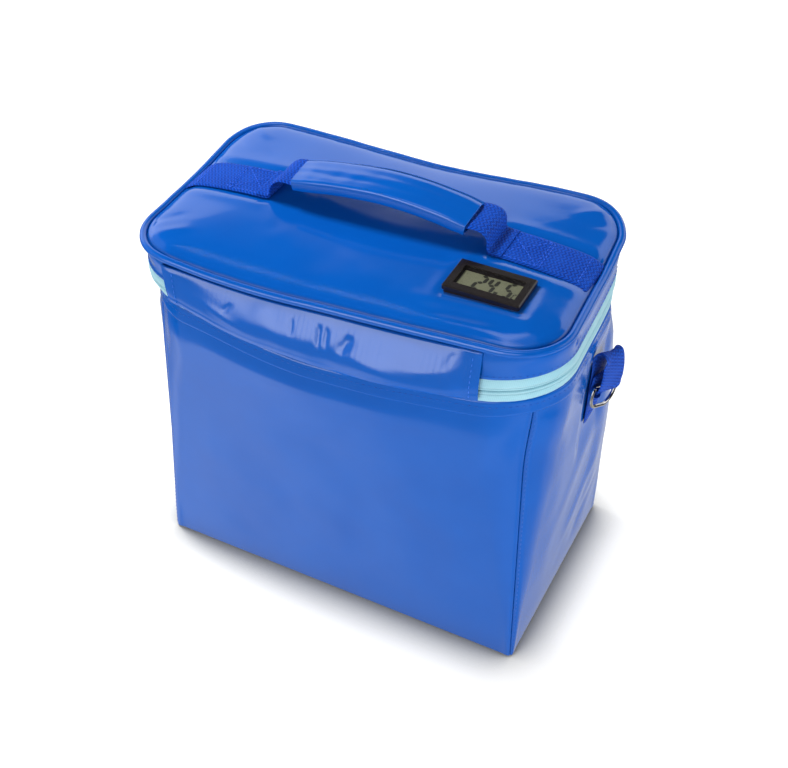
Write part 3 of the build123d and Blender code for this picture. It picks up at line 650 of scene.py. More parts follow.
# foam boards behind them
for side in ("front", "right", "back", "left"):
    rows = np.concatenate([[4.6, 5.4, 7.0], np.arange(12, 218, 9.0), [219.5, 221.0, 222.0]])
    Po, uvo = panel_points(side, off=-3.2, rows=rows, tuck=False)
    w = np.array(Po)
    inner = panel_points(side, off=-12.4, rows=rows, tuck=False)[0]
    n_u, n_v = Po.shape[:2]
    # a closed slab: outer face, top, inner face, bottom
    loop = np.concatenate([Po, inner[:, ::-1]], axis=1)
    keep = slice(3, n_u - 3)
    loop = loop[keep]
    o = grid_mesh("foam_board_" + side, loop, FOAM, wrap_v=True)
    # close the two mitred ends
    import bmesh
    bm = bmesh.new()
    bm.from_mesh(o.data)
    ends = [e for e in bm.edges if e.is_boundary]
    bmesh.ops.holes_fill(bm, edges=ends, sides=0)
    bmesh.ops.recalc_face_normals(bm, faces=bm.faces)
    bm.to_mesh(o.data)
    bm.free()
    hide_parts("foam_" + side)
    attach(o, "carrier_body")

# base panel: turned edges, a seam round it, slightly sunk in the middle
xs = np.concatenate([[0, 0.5, 1.2, 2.2, 3.5, 5.5, 8], np.linspace(12, base_w - 12, 60), base_w - np.array([8, 5.5, 3.5, 2.2, 1.2, 0.5, 0])]) - base_w / 2
ys = np.concatenate([[0, 0.5, 1.2, 2.2, 3.5, 5.5, 8], np.linspace(12, base_d - 12, 36), base_d - np.array([8, 5.5, 3.5, 2.2, 1.2, 0.5, 0])]) - base_d / 2
X, Y = np.meshgrid(xs * (base_w - 2.6) / base_w, ys * (base_d - 2.6) / base_d, indexing="ij")
de = np.minimum(base_w / 2 - 1.3 - np.abs(X), base_d / 2 - 1.3 - np.abs(Y))
Z = 0.75 * np.exp(-(de / 1.2) ** 2) + 0.45 * smooth(6, 22, de) + 0.12 * (1 + wave(X, Y, 60.0, 9)) * smooth(4, 20, de)
P = np.stack([X, Y, Z], axis=2)
o = grid_mesh("panel_base", P, PVC, flip=True, uv=np.stack([X, Y], axis=2))
solidify(o, 1.2)
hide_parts("outer_base_panel")
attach(o, "carrier_body")

# base foam
fb0, fb1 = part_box("foam_base")
hx, hy = fb1.x * 1000 - 2.2, fb1.y * 1000 - 2.2
xs, ys = np.linspace(-hx, hx, 40), np.linspace(-hy, hy, 24)
X, Y = np.meshgrid(xs, ys, indexing="ij")
rz = np.minimum(hx - np.abs(X), hy - np.abs(Y))
top = np.stack([X, Y, 15.6 - 0.8 * np.exp(-rz / 2.0)], axis=2)
bot = np.stack([X, Y, 4.4 + 0.8 * np.exp(-rz / 2.0)], axis=2)
loop = np.concatenate([top, bot[:, ::-1]], axis=1)
o = grid_mesh("foam_board_base", loop, FOAM, wrap_v=True)
import bmesh
bm = bmesh.new(); bm.from_mesh(o.data)
bmesh.ops.holes_fill(bm, edges=[e for e in bm.edges if e.is_boundary], sides=0)
bmesh.ops.recalc_face_normals(bm, faces=bm.faces)
bm.to_mesh(o.data); bm.free()
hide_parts("foam_base")
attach(o, "carrier_body")

NODES["base_stiffener_board"].data.materials.clear()
NODES["base_stiffener_board"].data.materials.append(BOARD)


# ---------------------------------------------------------------------------
# stitches: rows of small thread capsules
# ---------------------------------------------------------------------------
def stitch_row(name, runs, body, mat=THREAD, length=2.6, gap=1.1, r=0.27, sink=0.12, dash_skip=None):
    """runs: list of (points, normals) polylines in mm on a surface; one mesh of thread stitches."""
    ring, segs = 6, 5
    ts = np.linspace(-1, 1, segs)
    prof = np.sqrt(np.clip(1 - np.abs(ts) ** 3.0, 0, 1))
    prof[0] = prof[-1] = 0.25
    verts, faces = [], []
    base = 0
    for pts, nrm in runs:
        pts, nrm = np.asarray(pts, float), np.asarray(nrm, float)
        L = np.concatenate([[0], np.cumsum(np.linalg.norm(np.diff(pts, axis=0), axis=1))])
        n = int(L[-1] / (length + gap))
        if n < 1:
            continue
        pitch = L[-1] / n
        for i in range(n):
            c = (i + 0.5) * pitch
            s = c + ts * (length / 2) * (pitch / (length + gap))
            C = np.stack([np.interp(s, L, pts[:, k]) for k in range(3)], axis=1)
            Nn = np.stack([np.interp(s, L, nrm[:, k]) for k in range(3)], axis=1)
            Nn /= np.linalg.norm(Nn, axis=1)[:, None]
            T = C[-1] - C[0]
            T = T / max(np.linalg.norm(T), 1e-9)
            B = np.cross(Nn, T)
            B /= np.linalg.norm(B, axis=1)[:, None]
            lift = (r - sink) * np.ones(segs)
            lift[0] = lift[-1] = -r * 0.8
            for k in range(segs):
                for a in range(ring):
                    an = 2 * math.pi * a / ring
                    verts.append(C[k] + Nn[k] * (lift[k] + prof[k] * r * math.sin(an)) + B[k] * (prof[k] * r * 1.05 * math.cos(an)))
            for k in range(segs - 1):
                for a in range(ring):
                    a2 = (a + 1) % ring
                    faces.append((base + k * ring + a, base + k * ring + a2, base + (k + 1) * ring + a2, base + (k + 1) * ring + a))
            faces.append(tuple(base + a for a in range(ring))[::-1])
            faces.append(tuple(base + (segs - 1) * ring + a for a in range(ring)))
            base += segs * ring
    if not faces:
        return None
    o = make_mesh(name, np.array(verts), faces, mat)
    bm = bmesh.new(); bm.from_mesh(o.data)
    bmesh.ops.recalc_face_normals(bm, faces=bm.faces)
    bm.to_mesh(o.data); bm.free()
    if body:
        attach(o, body)
    return o


def col_normals(P):
    """Normals of a grid (nu, nv, 3), outward for the body's panels."""
    du = np.gradient(P, axis=0)
    dv = np.gradient(P, axis=1)
    n = np.cross(du, dv)
    n /= np.maximum(np.linalg.norm(n, axis=2), 1e-9)[:, :, None]
    return n


# seam stitching of the walls: it pulls down a row beside each corner seam
seam_runs = []
for side in ("front", "right", "back", "left"):
    P = PANELS[side]
    Nn = col_normals(P)
    k0, k1 = 3, len(Z_ROWS) - 12
    if side in ("right", "left"):
        for c in (4, P.shape[0] - 5):
            seam_runs.append((P[c, k0:k1], Nn[c, k0:k1]))
stitch_row("seam_stitches", seam_runs, "carrier_body", THREAD_DARK, length=2.4, gap=1.4, r=0.17)

# ---------------------------------------------------------------------------
# bound hem round the top edge of the body
# ---------------------------------------------------------------------------
def loop_points(w, d, r, zs, offs, nc=14, step=2.6):
    """Rows of a closed band: zs and offs say the height and outward offset of each row; w, d, r may be functions of z."""
    rows, ss = [], None
    for z, of in zip(zs, offs):
        W, D, R = (w(z), d(z), r(z)) if callable(w) else (w, d, r)
        P, N, s = outline(W, D, R, nc=nc, step=step)
        Q = P + N * of
        rows.append(np.concatenate([Q, np.full((len(Q), 1), z)], axis=1))
        ss = s
    A = np.array(rows).transpose(1, 0, 2)
    return A, ss


def body_full(z, off):
    """Full outline of the body at z with the panels' own swelling."""
    pts = []
    for side in ("front", "right", "back", "left"):
        P, _ = panel_points(side, rows=[z])
        pts.append(P[:-1, 0])
    return np.concatenate(pts)


hem_zs = np.array([214.8, 214.8, 215.0, 215.7, 217.0, 219.0, 221.0, 222.8, 224.0, 224.9, 225.3, 225.2])
hem_of = np.array([-0.2, 0.5, 0.95, 1.15, 1.1, 0.95, 0.95, 1.05, 1.1, 0.9, 0.3, -0.9])
rows = []
for z, of in zip(hem_zs, hem_of):
    ring = []
    zz = min(z, 225.0)
    for side in ("front", "right", "back", "left"):
        P0, _ = panel_points(side, rows=[zz])
        c = P0[:, 0]
        t = np.gradient(c, axis=0)
        n2 = np.stack([t[:, 1], -t[:, 0]], axis=1)
        n2 /= np.maximum(np.linalg.norm(n2, axis=1), 1e-9)[:, None]
        # the hem runs over the corner seams without their fold
        L = np.concatenate([[0], np.cumsum(np.linalg.norm(np.diff(c[:, :2], axis=0), axis=1))])
        de = np.minimum(L, L[-1] - L)
        fill = 1.15 * np.exp(-(de / 0.75) ** 1.4)
        q = c.copy()
        q[:, :2] += n2 * (of + fill)[:, None]
        q[:, 2] += z - zz
        ring.append(q[6:-6])
    rows.append(np.concatenate(ring))
P = np.array(rows).transpose(1, 0, 2)
o = grid_mesh("hem_band", P, PVC, wrap_u=True)
solidify(o, 0.5)
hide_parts("body_hem_band")
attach(o, "carrier_body")
Nn = col_normals(P)
HEM = P
run = np.concatenate([P[:, 6], P[:1, 6]])
nrm = np.concatenate([Nn[:, 6], Nn[:1, 6]])
stitch_row("hem_stitches", [(run, nrm)], "carrier_body", THREAD_DARK, length=2.6, gap=1.3, r=0.19)

# ---------------------------------------------------------------------------
# zip: two tapes, smooth side out, meeting in a fine groove; it runs round all
# but the back, where a strip of the same fabric as the bag makes the hinge
# ---------------------------------------------------------------------------
tape_w, tape_d, tape_r = 283.4, 160.6, 44.8
strip_x = 95.0


def open_band(zs, offs, nc=22, step=2.0, x_cut=96.4, w=tape_w, d=tape_d, r=tape_r):
    """Band that leaves out the back between -x_cut and x_cut. Runs from the back right round the front to the back left."""
    P, N, s = outline(w, d, r, nc=nc, step=step)
    mid = int(np.argmin(np.abs(P[:, 0]) + np.where(P[:, 1] > 0, 0, 1e6)))
    P, N = np.roll(P, -mid, axis=0), np.roll(N, -mid, axis=0)
    # starts at the middle of the back, goes towards -x first
    keep = ~((P[:, 1] > d / 2 - 0.01) & (np.abs(P[:, 0]) < x_cut))
    P, N = P[keep], N[keep]
    first = np.array([[-x_cut, d / 2]]); last = np.array([[x_cut, d / 2]])
    P = np.concatenate([first, P, last]); N = np.concatenate([[[0, 1.0]], N, [[0, 1.0]]])
    s = np.concatenate([[0], np.cumsum(np.linalg.norm(np.diff(P, axis=0), axis=1))])
    rows = []
    for z, of in zip(zs, offs):
        Q = P + N * np.asarray(of)[..., None] if np.ndim(of) else P + N * of
        rows.append(np.concatenate([Q, np.full((len(Q), 1), z)], axis=1))
    A = np.array(rows).transpose(1, 0, 2)
    uv = np.stack(np.meshgrid(s, zs, indexing="ij"), axis=2)
    return A, uv


def zip_sway(P):
    """The zip's own small ripples."""
    P = P.copy()
    s = P[..., 0] * 0.9 + P[..., 1] * 1.1
    P[..., 2] += 0.22 * wave(s, 0 * s, 42.0, 5)
    return P


lo_z = np.array([224.7, 225.0, 225.6, 226.8, 228.4, 229.8, 230.6, 230.9, 231.2, 231.6, 231.9, 232.15, 232.2, 232.0])
lo_o = np.array([-0.9, -0.2, 0.25, 0.75, 0.95, 0.9, 0.75, 0.45, 0.70, 0.68, 0.5, 0.1, -0.5, -1.2])
hi_z = np.array([234.0, 233.8, 233.85, 234.1, 234.5, 234.9, 235.2, 235.5, 236.4, 238.0, 239.6, 240.6, 241.2, 241.6])
hi_o = np.array([-1.2, -0.5, 0.1, 0.5, 0.68, 0.70, 0.42, 0.62, 0.62, 0.5, 0.35, 0.1, -0.3, -0.9])
for nm, zs, of, body, node in (("zip_lower", lo_z, lo_o, "carrier_body", "zip_tape_lower"), ("zip_upper", hi_z, hi_o, "lid", "zip_tape_upper")):
    A, uv = open_band(zs, of)
    A = settle(zip_sway(A))
    o = grid_mesh(nm, A, ZIP, uv=uv, flip=True)
    solidify(o, 0.7)
    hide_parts(node)
    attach(o, body)
    if nm == "zip_lower":
        ZIP_LO = A
    else:
        ZIP_HI = A


# the coils, as real turns, on the inner side
def coil_mesh(name, z_mid, body, node, tooth_up):
    A, uv = open_band([z_mid], [-2.0], step=2.0)
    A = settle(zip_sway(A))[:, 0]
    L = np.concatenate([[0], np.cumsum(np.linalg.norm(np.diff(A, axis=0), axis=1))])
    pitch = 1.6
    n = int(L[-1] / pitch)
    per = 7
    t = np.arange(n * per + 1) / per
    s = t * L[-1] / n
    C = np.stack([np.interp(s, L, A[:, k]) for k in range(3)], axis=1)
    T = np.gradient(C, axis=0); T /= np.linalg.norm(T, axis=1)[:, None]
    up_ = np.array([0, 0, 1.0])
    B = np.cross(T, up_); B /= np.linalg.norm(B, axis=1)[:, None]
    ph = 2 * math.pi * t
    H = C + up_ * (1.05 * np.cos(ph))[:, None] * tooth_up + B * (0.62 * np.sin(ph))[:, None]
    TT = np.gradient(H, axis=0); TT /= np.linalg.norm(TT, axis=1)[:, None]
    N1 = np.cross(TT, T + 1e-3); N1 /= np.maximum(np.linalg.norm(N1, axis=1), 1e-9)[:, None]
    N2 = np.cross(TT, N1)
    r = 0.3
    R = np.stack([H + r * (N1 * math.cos(a) + N2 * math.sin(a)) for a in np.linspace(0, 2 * math.pi, 5)[:-1]], axis=1)
    o = grid_mesh(name, R, COIL, wrap_v=True)
    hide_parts(node)
    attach(o, body)


coil_mesh("coil_lower", 231.15, "carrier_body", "zip_coil_lower", 1)
coil_mesh("coil_upper", 234.85, "lid", "zip_coil_upper", -1)

# fabric hinge at the back: one strip, sewn to both
xs = np.linspace(-strip_x, strip_x, 74)
hz = np.array([224.8, 225.6, 226.6, 228.0, 229.5, 231.0, 232.2, 233.0, 233.8, 235.0, 236.5, 238.0, 239.4, 240.4, 241.2])
X, Zg = np.meshgrid(xs, hz, indexing="ij")
Yg = 80.1 - 0.9 * np.exp(-((Zg - 233.0) / 1.6) ** 2) + 0.15 * wave(X, Zg, 30, 4)
P = settle(np.stack([X, Yg, Zg], axis=2))
hinge = grid_mesh("back_hinge", P, HINGE_CLOTH, uv=np.stack([X, Zg], axis=2), flip=True)
solidify(hinge, 0.9)
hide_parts("hinge_strip_lower", "hinge_strip_upper")
hinge_runs = [(P[:, 2], np.tile([0, 1.0, 0], (len(P), 1))), (P[:, -3], np.tile([0, 1.0, 0], (len(P), 1)))]
stitch_row("hinge_stitches_lower", hinge_runs[:1], "carrier_body", THREAD)
stitch_row("hinge_stitches_upper", hinge_runs[1:], "lid", THREAD)

# ---------------------------------------------------------------------------
# lid
# ---------------------------------------------------------------------------
def lerp(z, z0, z1, a, b):
    return a + (b - a) * (z - z0) / (z1 - z0)


sk_z = np.array([240.8, 240.9, 241.3, 242.2, 243.4, 245.0, 247.5, 250.5, 253.5, 256.0, 258.0, 259.4, 260.4, 261.2])
rows = []
for i, z in enumerate(sk_z):
    W, D, R = lerp(z, 241, 260, 283.4, 282.6), lerp(z, 241, 260, 160.6, 159.4), lerp(z, 241, 260, 44.8, 35.0)
    P0, N0, s0 = outline(W, D, R, nc=20, step=2.2)
    of = np.interp(z, [240.8, 241.0, 241.6, 243.0, 248.0, 253.0, 257.0, 260.0, 261.2], [-0.6, 0.5, 0.95, 0.75, 0.5, 0.9, 0.7, -0.3, -1.6])
    sw = 0.30 * wave(s0[:-1], z * 1.0 + 0 * s0[:-1], 34.0, 8) * smooth(242, 246, z) * (1 - smooth(257, 260, z))
    Q = P0 + N0 * (of + sw)[:, None]
    rows.append(np.concatenate([Q, np.full((len(Q), 1), z)], axis=1))
SK = settle(np.array(rows).transpose(1, 0, 2))
uv = np.stack(np.meshgrid(s0, sk_z, indexing="ij"), axis=2)
o = grid_mesh("skirt", SK, PVC, wrap_u=True, uv=uv)
solidify(o, 1.0)
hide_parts("lid_skirt")
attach(o, "lid")
Nn = col_normals(SK)
run = np.concatenate([SK[:, 4], SK[:1, 4]])
stitch_row("skirt_stitches", [(run, np.concatenate([Nn[:, 4], Nn[:1, 4]]))], "lid", THREAD_DARK, length=2.5, gap=1.3, r=0.2)

# piping: the cord in its welt, with the flange's fold just inside it
P0, N0, s0 = outline(282.8, 159.4, 34.5, nc=24, step=2.0)
sway = 0.18 * wave(s0[:-1], 0 * s0[:-1], 26.0, 2)
A = np.linspace(0, 2 * math.pi, 15)[:-1]
prof = []
for a in A:
    ro, rz = 2.4 * math.cos(a), 2.4 * math.sin(a)
    prof.append((ro, rz))
rows = []
for ro, rz in prof:
    Q = P0 + N0 * (ro + sway)[:, None]
    rows.append(np.concatenate([Q, (262.0 + rz + sway * 0.5)[:, None]], axis=1))
P = settle(np.array(rows).transpose(1, 0, 2))
uvp = np.stack(np.meshgrid(s0, np.linspace(0, 14.1, 15), indexing="ij"), axis=2)
o = grid_mesh("piping_cord", P, PVC, wrap_u=True, wrap_v=True, uv=uvp)
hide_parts("lid_piping")
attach(o, "lid")

# ---- the puffed top panel --------------------------------------------------
LCD_X, LCD_Y = 89.0, -37.0
INSET_MAX = 78.1
rim_w, rim_d, rim_r = 279.6, 156.2, 33.2


def top_height(x, y, inset):
    """Height of the padded top at (x, y), inset mm in from the rim (before settling)."""
    rise = 1 - np.exp(-(np.maximum(inset, 0) / 5.2) ** 0.95)
    z = 260.6 + 8.4 * rise + 1.0 * smooth(6, 55, inset) + 0.55 * np.exp(-((inset - 1.7) / 1.0) ** 2) - 0.25 * np.exp(-((inset - 4.2) / 1.3) ** 2)
    # the foam gives between the sewn straps: shallow swells
    z = z + 0.30 * wave(x, y, 120.0, 6) * smooth(6, 25, inset) + 0.10 * wave(x, y, 46.0, 7) * smooth(6, 20, inset)
    # puckers where the edge is gathered into the piping
    ang = np.arctan2(y * 1.5, x)
    t = np.where(np.abs(x) > np.abs(y) * 1.7, y, x)
    gather = np.exp(-((inset - 4.5) / 4.5) ** 2)
    z = z + gather * 0.22 * wave(t * 1.0, ang * 14, 17.0, 12)
    return z


def strap_press(x, y):
    """The sewn straps pull the top down along their length."""
    across = 1 - smooth(14.0, 22.0, np.abs(y - 5.0))
    along = smooth(70.0, 80.0, np.abs(x)) * (1 - smooth(134, 140, np.abs(x)))
    ridge = np.exp(-((np.abs(y - 5.0) - 21.0) / 5.0) ** 2) * smooth(66.0, 80.0, np.abs(x)) * (1 - smooth(128, 138, np.abs(x)))
    return -0.9 * across * along + 0.35 * ridge


def lcd_press(x, y):
    """The top is cut and drawn in round the thermometer."""
    dx, dy = np.abs(x - LCD_X) - 24.0, np.abs(y - LCD_Y) - 14.3
    d = np.hypot(np.maximum(dx, 0), np.maximum(dy, 0)) + np.minimum(np.maximum(dx, dy), 0)
    dip = -0.55 * np.exp(-(np.maximum(d, 0) / 2.2) ** 2)
    swell = 0.55 * np.exp(-((d - 6.0) / 3.6) ** 2) * (0.55 + 0.45 * smooth(-30, -50, y))
    return dip + swell


def creases(x, y, inset):
    """Listed folds of the top: pinches at the corners and between thermometer and front edge."""
    out = np.zeros(np.broadcast(x, y).shape)
    for (x0, y0, x1, y1, a, w) in (
            (134, -70, 108, -56, 0.45, 3.2), (139, -56, 122, -46, -0.2, 3.0), (124, -76, 98, -66, -0.35, 3.4),
            (132, 70, 108, 50, 0.7, 3.6), (138, 58, 120, 44, -0.45, 3.2),
            (-132, -70, -104, -52, 0.8, 3.8), (-138, -56, -114, -40, -0.55, 3.4), (-120, -77, -88, -66, 0.55, 4.0),
            (-132, 70, -110, 52, 0.6, 3.6), (-139, 56, -122, 40, -0.4, 3.2),
            (52, -66, 112, -63, -0.75, 3.6), (58, -72, 118, -69.5, 0.5, 2.8), (50, -56, 66, -62, 0.4, 3.2),
            (-60, -30, -18, -58, 0.4, 9.0), (-8, -38, 34, -62, 0.35, 8.0), (-30, 36, 40, 52, 0.3, 9.0),
            (66, 22, 62, 40, 0.3, 4.0), (-68, 24, -60, 44, 0.3, 4.0), (-70, -14, -58, -34, 0.35, 5.0), (68, -12, 62, -26, 0.3, 4.0)):
        ex, ey = x1 - x0, y1 - y0
        ln = math.hypot(ex, ey)
        al = ((x - x0) * ex + (y - y0) * ey) / ln
        of = ((x - x0) * ey - (y - y0) * ex) / ln
        out = out + a * np.exp(-(of / w) ** 2) * smooth(-4, ln * 0.3, al) * (1 - smooth(ln * 0.55, ln + 3, al))
    return out * smooth(1.0, 5.0, inset)


def top_z(x, y, inset):
    return top_height(x, y, inset) + strap_press(x, y) + lcd_press(x, y) + creases(x, y, inset)


insets = np.concatenate([[-1.2, -0.5, 0.0, 0.5, 1.0, 1.7, 2.5, 3.4, 4.4, 5.6, 7.0, 8.6, 10.4, 12.4], np.linspace(14.6, INSET_MAX, 32)])
rings, insd = [], []
for k in insets:
    f = max(k, 0) / INSET_MAX
    W, D, R = rim_w - 2 * k, rim_d - 2 * k, max(rim_r * (1 - f), 0.0)
    P0, N0, s0 = outline(W, D, R, nc=20, step=2.2)
    rings.append(P0)
    insd.append(np.full(len(P0), k))
G = np.array(rings).transpose(1, 0, 2)
I = np.array(insd).T


def true_inset(x, y):
    """Distance in from the rim's outline."""
    qx, qy = np.abs(x) - (rim_w / 2 - rim_r), np.abs(y) - (rim_d / 2 - rim_r)
    outside = np.hypot(np.maximum(qx, 0), np.maximum(qy, 0)) + np.minimum(np.maximum(qx, qy), 0) - rim_r
    return -outside


I = true_inset(G[..., 0], G[..., 1])
Z = top_z(G[..., 0], G[..., 1], I)
Z[:, 0] -= 1.6
Z[:, 1] -= 0.6
TOP = settle(np.concatenate([G, Z[..., None]], axis=2))
uvt = np.concatenate([G, G[:1]], axis=0)
top_panel = grid_mesh("top_panel", TOP, PVC, wrap_u=True, uv=uvt)
merge_close(top_panel, 0.05)
# cut the thermometer's opening out: faces whose centre lies inside the pocket
bm = bmesh.new(); bm.from_mesh(top_panel.data)
hole = [f for f in bm.faces if abs(f.calc_center_median().x * 1000 - LCD_X - 1.0) < 20.5 and abs(f.calc_center_median().y * 1000 - LCD_Y) < 11.0]
bmesh.ops.delete(bm, geom=hole, context="FACES")
bm.to_mesh(top_panel.data); bm.free()
solidify(top_panel, 1.0)
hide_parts("lid_top_panel")
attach(top_panel, "lid")


def lid_surface(x, y):
    """Where the settled top lies at drawn (x, y): returns points (n, 3)."""
    x, y = np.asarray(x, float), np.asarray(y, float)
    z = top_z(x, y, true_inset(x, y))
    return settle(np.stack([x, y, z], axis=-1))


# foam of the lid, under the top
ins2 = np.array([0.4, 1.2, 3, 6, 10, 16, 24, 34, 46, 60, 70, 77.1])
rings = []
for k in ins2:
    f = k / 77.1
    P0, N0, s0 = outline(rim_w - 2 - 2 * k, rim_d - 2 - 2 * k, max((rim_r - 1) * (1 - f), 0.0), nc=8, step=6.0)
    zt = top_height(P0[:, 0], P0[:, 1], true_inset(P0[:, 0], P0[:, 1])) - 3.0
    # clear of the thermometer's case
    near = smooth(31, 27, np.abs(P0[:, 0] - LCD_X)) * smooth(21, 17, np.abs(P0[:, 1] - LCD_Y))
    zt = zt * (1 - near) + np.minimum(zt, 255.0) * near
    rings.append(np.concatenate([P0, zt[:, None]], axis=1))
bot = [np.concatenate([r[:, :2], np.full((len(r), 1), 242.9)], axis=1) for r in rings[::-1]]
P = settle(np.array(rings[::-1] + bot[::-1]).transpose(1, 0, 2))
o = grid_mesh("foam_board_lid", P, FOAM, wrap_u=True, flip=False)
merge_close(o, 0.05)
bm = bmesh.new(); bm.from_mesh(o.data)
bmesh.ops.recalc_face_normals(bm, faces=bm.faces)
bm.to_mesh(o.data); bm.free()
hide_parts("lid_foam")
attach(o, "lid")

# liner of the lid: film with a welded edge and soft puckers
rings = []
lw, ld, lr = 280.4, 157.6, 43.6
for k in np.concatenate([[0, 0.8, 2.0, 4.0, 4.8, 5.6, 7.5, 10], np.linspace(14, 78.8, 23)]):
    f = max(k, 0) / 78.8
    P0, N0, s0 = outline(lw - 2 * k, ld - 2 * k, max(lr * (1 - f), 0.0), nc=16, step=3.0)
    x, y = P0[:, 0], P0[:, 1]
    z = 241.7 + 0.35 * np.exp(-((k - 4.8) / 0.8) ** 2) - 0.9 * smooth(6, 30, k) + 0.22 * wave(x, y, 40, 17) * smooth(5, 14, k) \
        + 0.25 * wave(s0[:-1], 0 * x, 14, 3) * np.exp(-((k - 8) / 4.0) ** 2)
    gr = np.hypot(x - LCD_X, y - LCD_Y)
    z = z * (1 - (1 - smooth(6.5, 12, gr))) + 241.6 * (1 - smooth(6.5, 12, gr))
    rings.append(np.concatenate([P0, z[:, None]], axis=1))
P = settle(np.array(rings).transpose(1, 0, 2))
o = grid_mesh("lid_lining", P, LINER, wrap_u=True, flip=True)
merge_close(o, 0.05)
bm = bmesh.new(); bm.from_mesh(o.data)
hole = [f for f in bm.faces if math.hypot(f.calc_center_median().x * 1000 - LCD_X - 1.2, f.calc_center_median().y * 1000 - LCD_Y) < 3.2]
bmesh.ops.delete(bm, geom=hole, context="FACES")
bm.to_mesh(o.data); bm.free()
solidify(o, 0.8)
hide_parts("lid_liner")
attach(o, "lid")

# ---------------------------------------------------------------------------
# straps on the lid
# ---------------------------------------------------------------------------
web_w, web_y, web_t = 30.0, 5.0, 1.6


def ribbon(name, centres, across, normals, width, thick, mat, body, node=None, cols=21, edge=0.55, end_round=True, v0=0.0):
    """A woven strap with rounded edges and real thickness, along centres with unit across vectors."""
    C, Aw, Nn = (np.asarray(q, float) for q in (centres, across, normals))
    s = np.concatenate([[0], np.cumsum(np.linalg.norm(np.diff(C, axis=0), axis=1))])
    # closed cross-section: top row then bottom row
    t = np.linspace(-1, 1, cols)
    prof_t = thick / 2 * np.power(np.clip(1 - np.abs(t) ** 10, 0, 1), 0.5)
    prof_t = np.maximum(prof_t, 0.12)
    top = [(a * width / 2, h) for a, h in zip(t, prof_t)]
    bot = [(a * width / 2, -h) for a, h in zip(t[::-1], prof_t[::-1])]
    sec = np.array(top + bot)
    rows = []
    for i in range(len(C)):
        rows.append(C[i] + Aw[i] * sec[:, 0][:, None] + Nn[i] * sec[:, 1][:, None])
    P = np.array(rows)                       # along, round
    uvs = np.zeros((len(C), len(sec) + 1, 2))
    uvs[:, :len(sec), 0] = sec[:, 0] + width / 2
    uvs[:, len(sec), 0] = sec[0, 0] + width / 2
    uvs[:, :, 1] = s[:, None] + v0
    o = grid_mesh(name, P, mat, wrap_v=True, uv=uvs)
    bm = bmesh.new(); bm.from_mesh(o.data)
    bmesh.ops.holes_fill(bm, edges=[e for e in bm.edges if e.is_boundary], sides=0)
    bmesh.ops.recalc_face_normals(bm, faces=bm.faces)
    bm.to_mesh(o.data); bm.free()
    if node:
        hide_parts(node)
    if body:
        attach(o, body)
    return o, s


def frames_along(C, side_hint):
    C = np.asarray(C, float)
    T = np.gradient(C, axis=0)
    T /= np.linalg.norm(T, axis=1)[:, None]
    S = np.tile(np.asarray(side_hint, float), (len(C), 1)) if np.ndim(side_hint) == 1 else np.asarray(side_hint, float)
    Nn = np.cross(T, S)
    Nn /= np.linalg.norm(Nn, axis=1)[:, None]
    Aw = np.cross(Nn, T)
    return T, Aw, Nn


strap_surf = {}
for name, sx in (("left", -1), ("right", 1)):
    x = sx * np.concatenate([np.linspace(74.6, 126, 34), np.linspace(127.5, 136.6, 9)])
    y = np.full_like(x, web_y)
    S0 = lid_surface(x, y)
    C = S0.copy()
    C[:, 2] += 0.95
    # over the puffed edge and down to the piping's groove
    end = C[-1]
    extra = []
    for dx, dz in ((0.9, -1.1), (1.5, -2.5), (1.8, -4.2)):
        extra.append([end[0] + sx * dx, web_y, end[2] + dz])
    C = np.concatenate([C, extra])
    C[:, 1] = web_y + 0.35 * np.sin(np.linspace(0, 5, len(C)) + sx)
    T, Aw, Nn = frames_along(C, (0, 1, 0))
    if sx > 0:
        Nn = Nn
    flip_ = 1 if Nn[3][2] > 0 else -1
    Nn = Nn * flip_
    o, s = ribbon("strap_" + name, C, Aw, Nn, web_w, web_t, WEB, "lid", "handle_strap_" + name)
    strap_surf[name] = (C, Aw, Nn, s)

    # sewing: a line across each end of the box, its sides and the cross
    def on_strap(a, w, C=C, Aw=Aw, Nn=Nn, s=s):
        """Point on the strap's top, a mm along, w mm across."""
        c = np.array([np.interp(a, s, C[:, k]) for k in range(3)])
        q = np.array([np.interp(a, s, Aw[:, k]) for k in range(3)])
        n = np.array([np.interp(a, s, Nn[:, k]) for k in range(3)])
        return c + q * w + n * (web_t / 2), n

    def run_between(a0, w0, a1, w1):
        t = np.linspace(0, 1, 24)
        r_ = [on_strap(a0 + (a1 - a0) * k, w0 + (w1 - w0) * k) for k in t]
        return np.array([q[0] for q in r_]), np.array([q[1] for q in r_])

    hw = web_w / 2 - 2.2
    runs = [run_between(2.5, -hw, 2.5, hw), run_between(4.2, -hw, 4.2, hw), run_between(31.0, -hw, 31.0, hw), run_between(33.0, -hw, 33.0, hw),
            run_between(3.0, -hw, 31.5, -hw), run_between(3.0, hw, 31.5, hw),
            run_between(4.0, -hw, 31.0, hw), run_between(4.0, hw, 31.0, -hw),
            run_between(56.5, -hw, 56.5, hw)]
    stitch_row("strap_stitches_" + name, runs, "lid", THREAD_WEB, length=2.3, gap=0.8, r=0.26, sink=0.1)

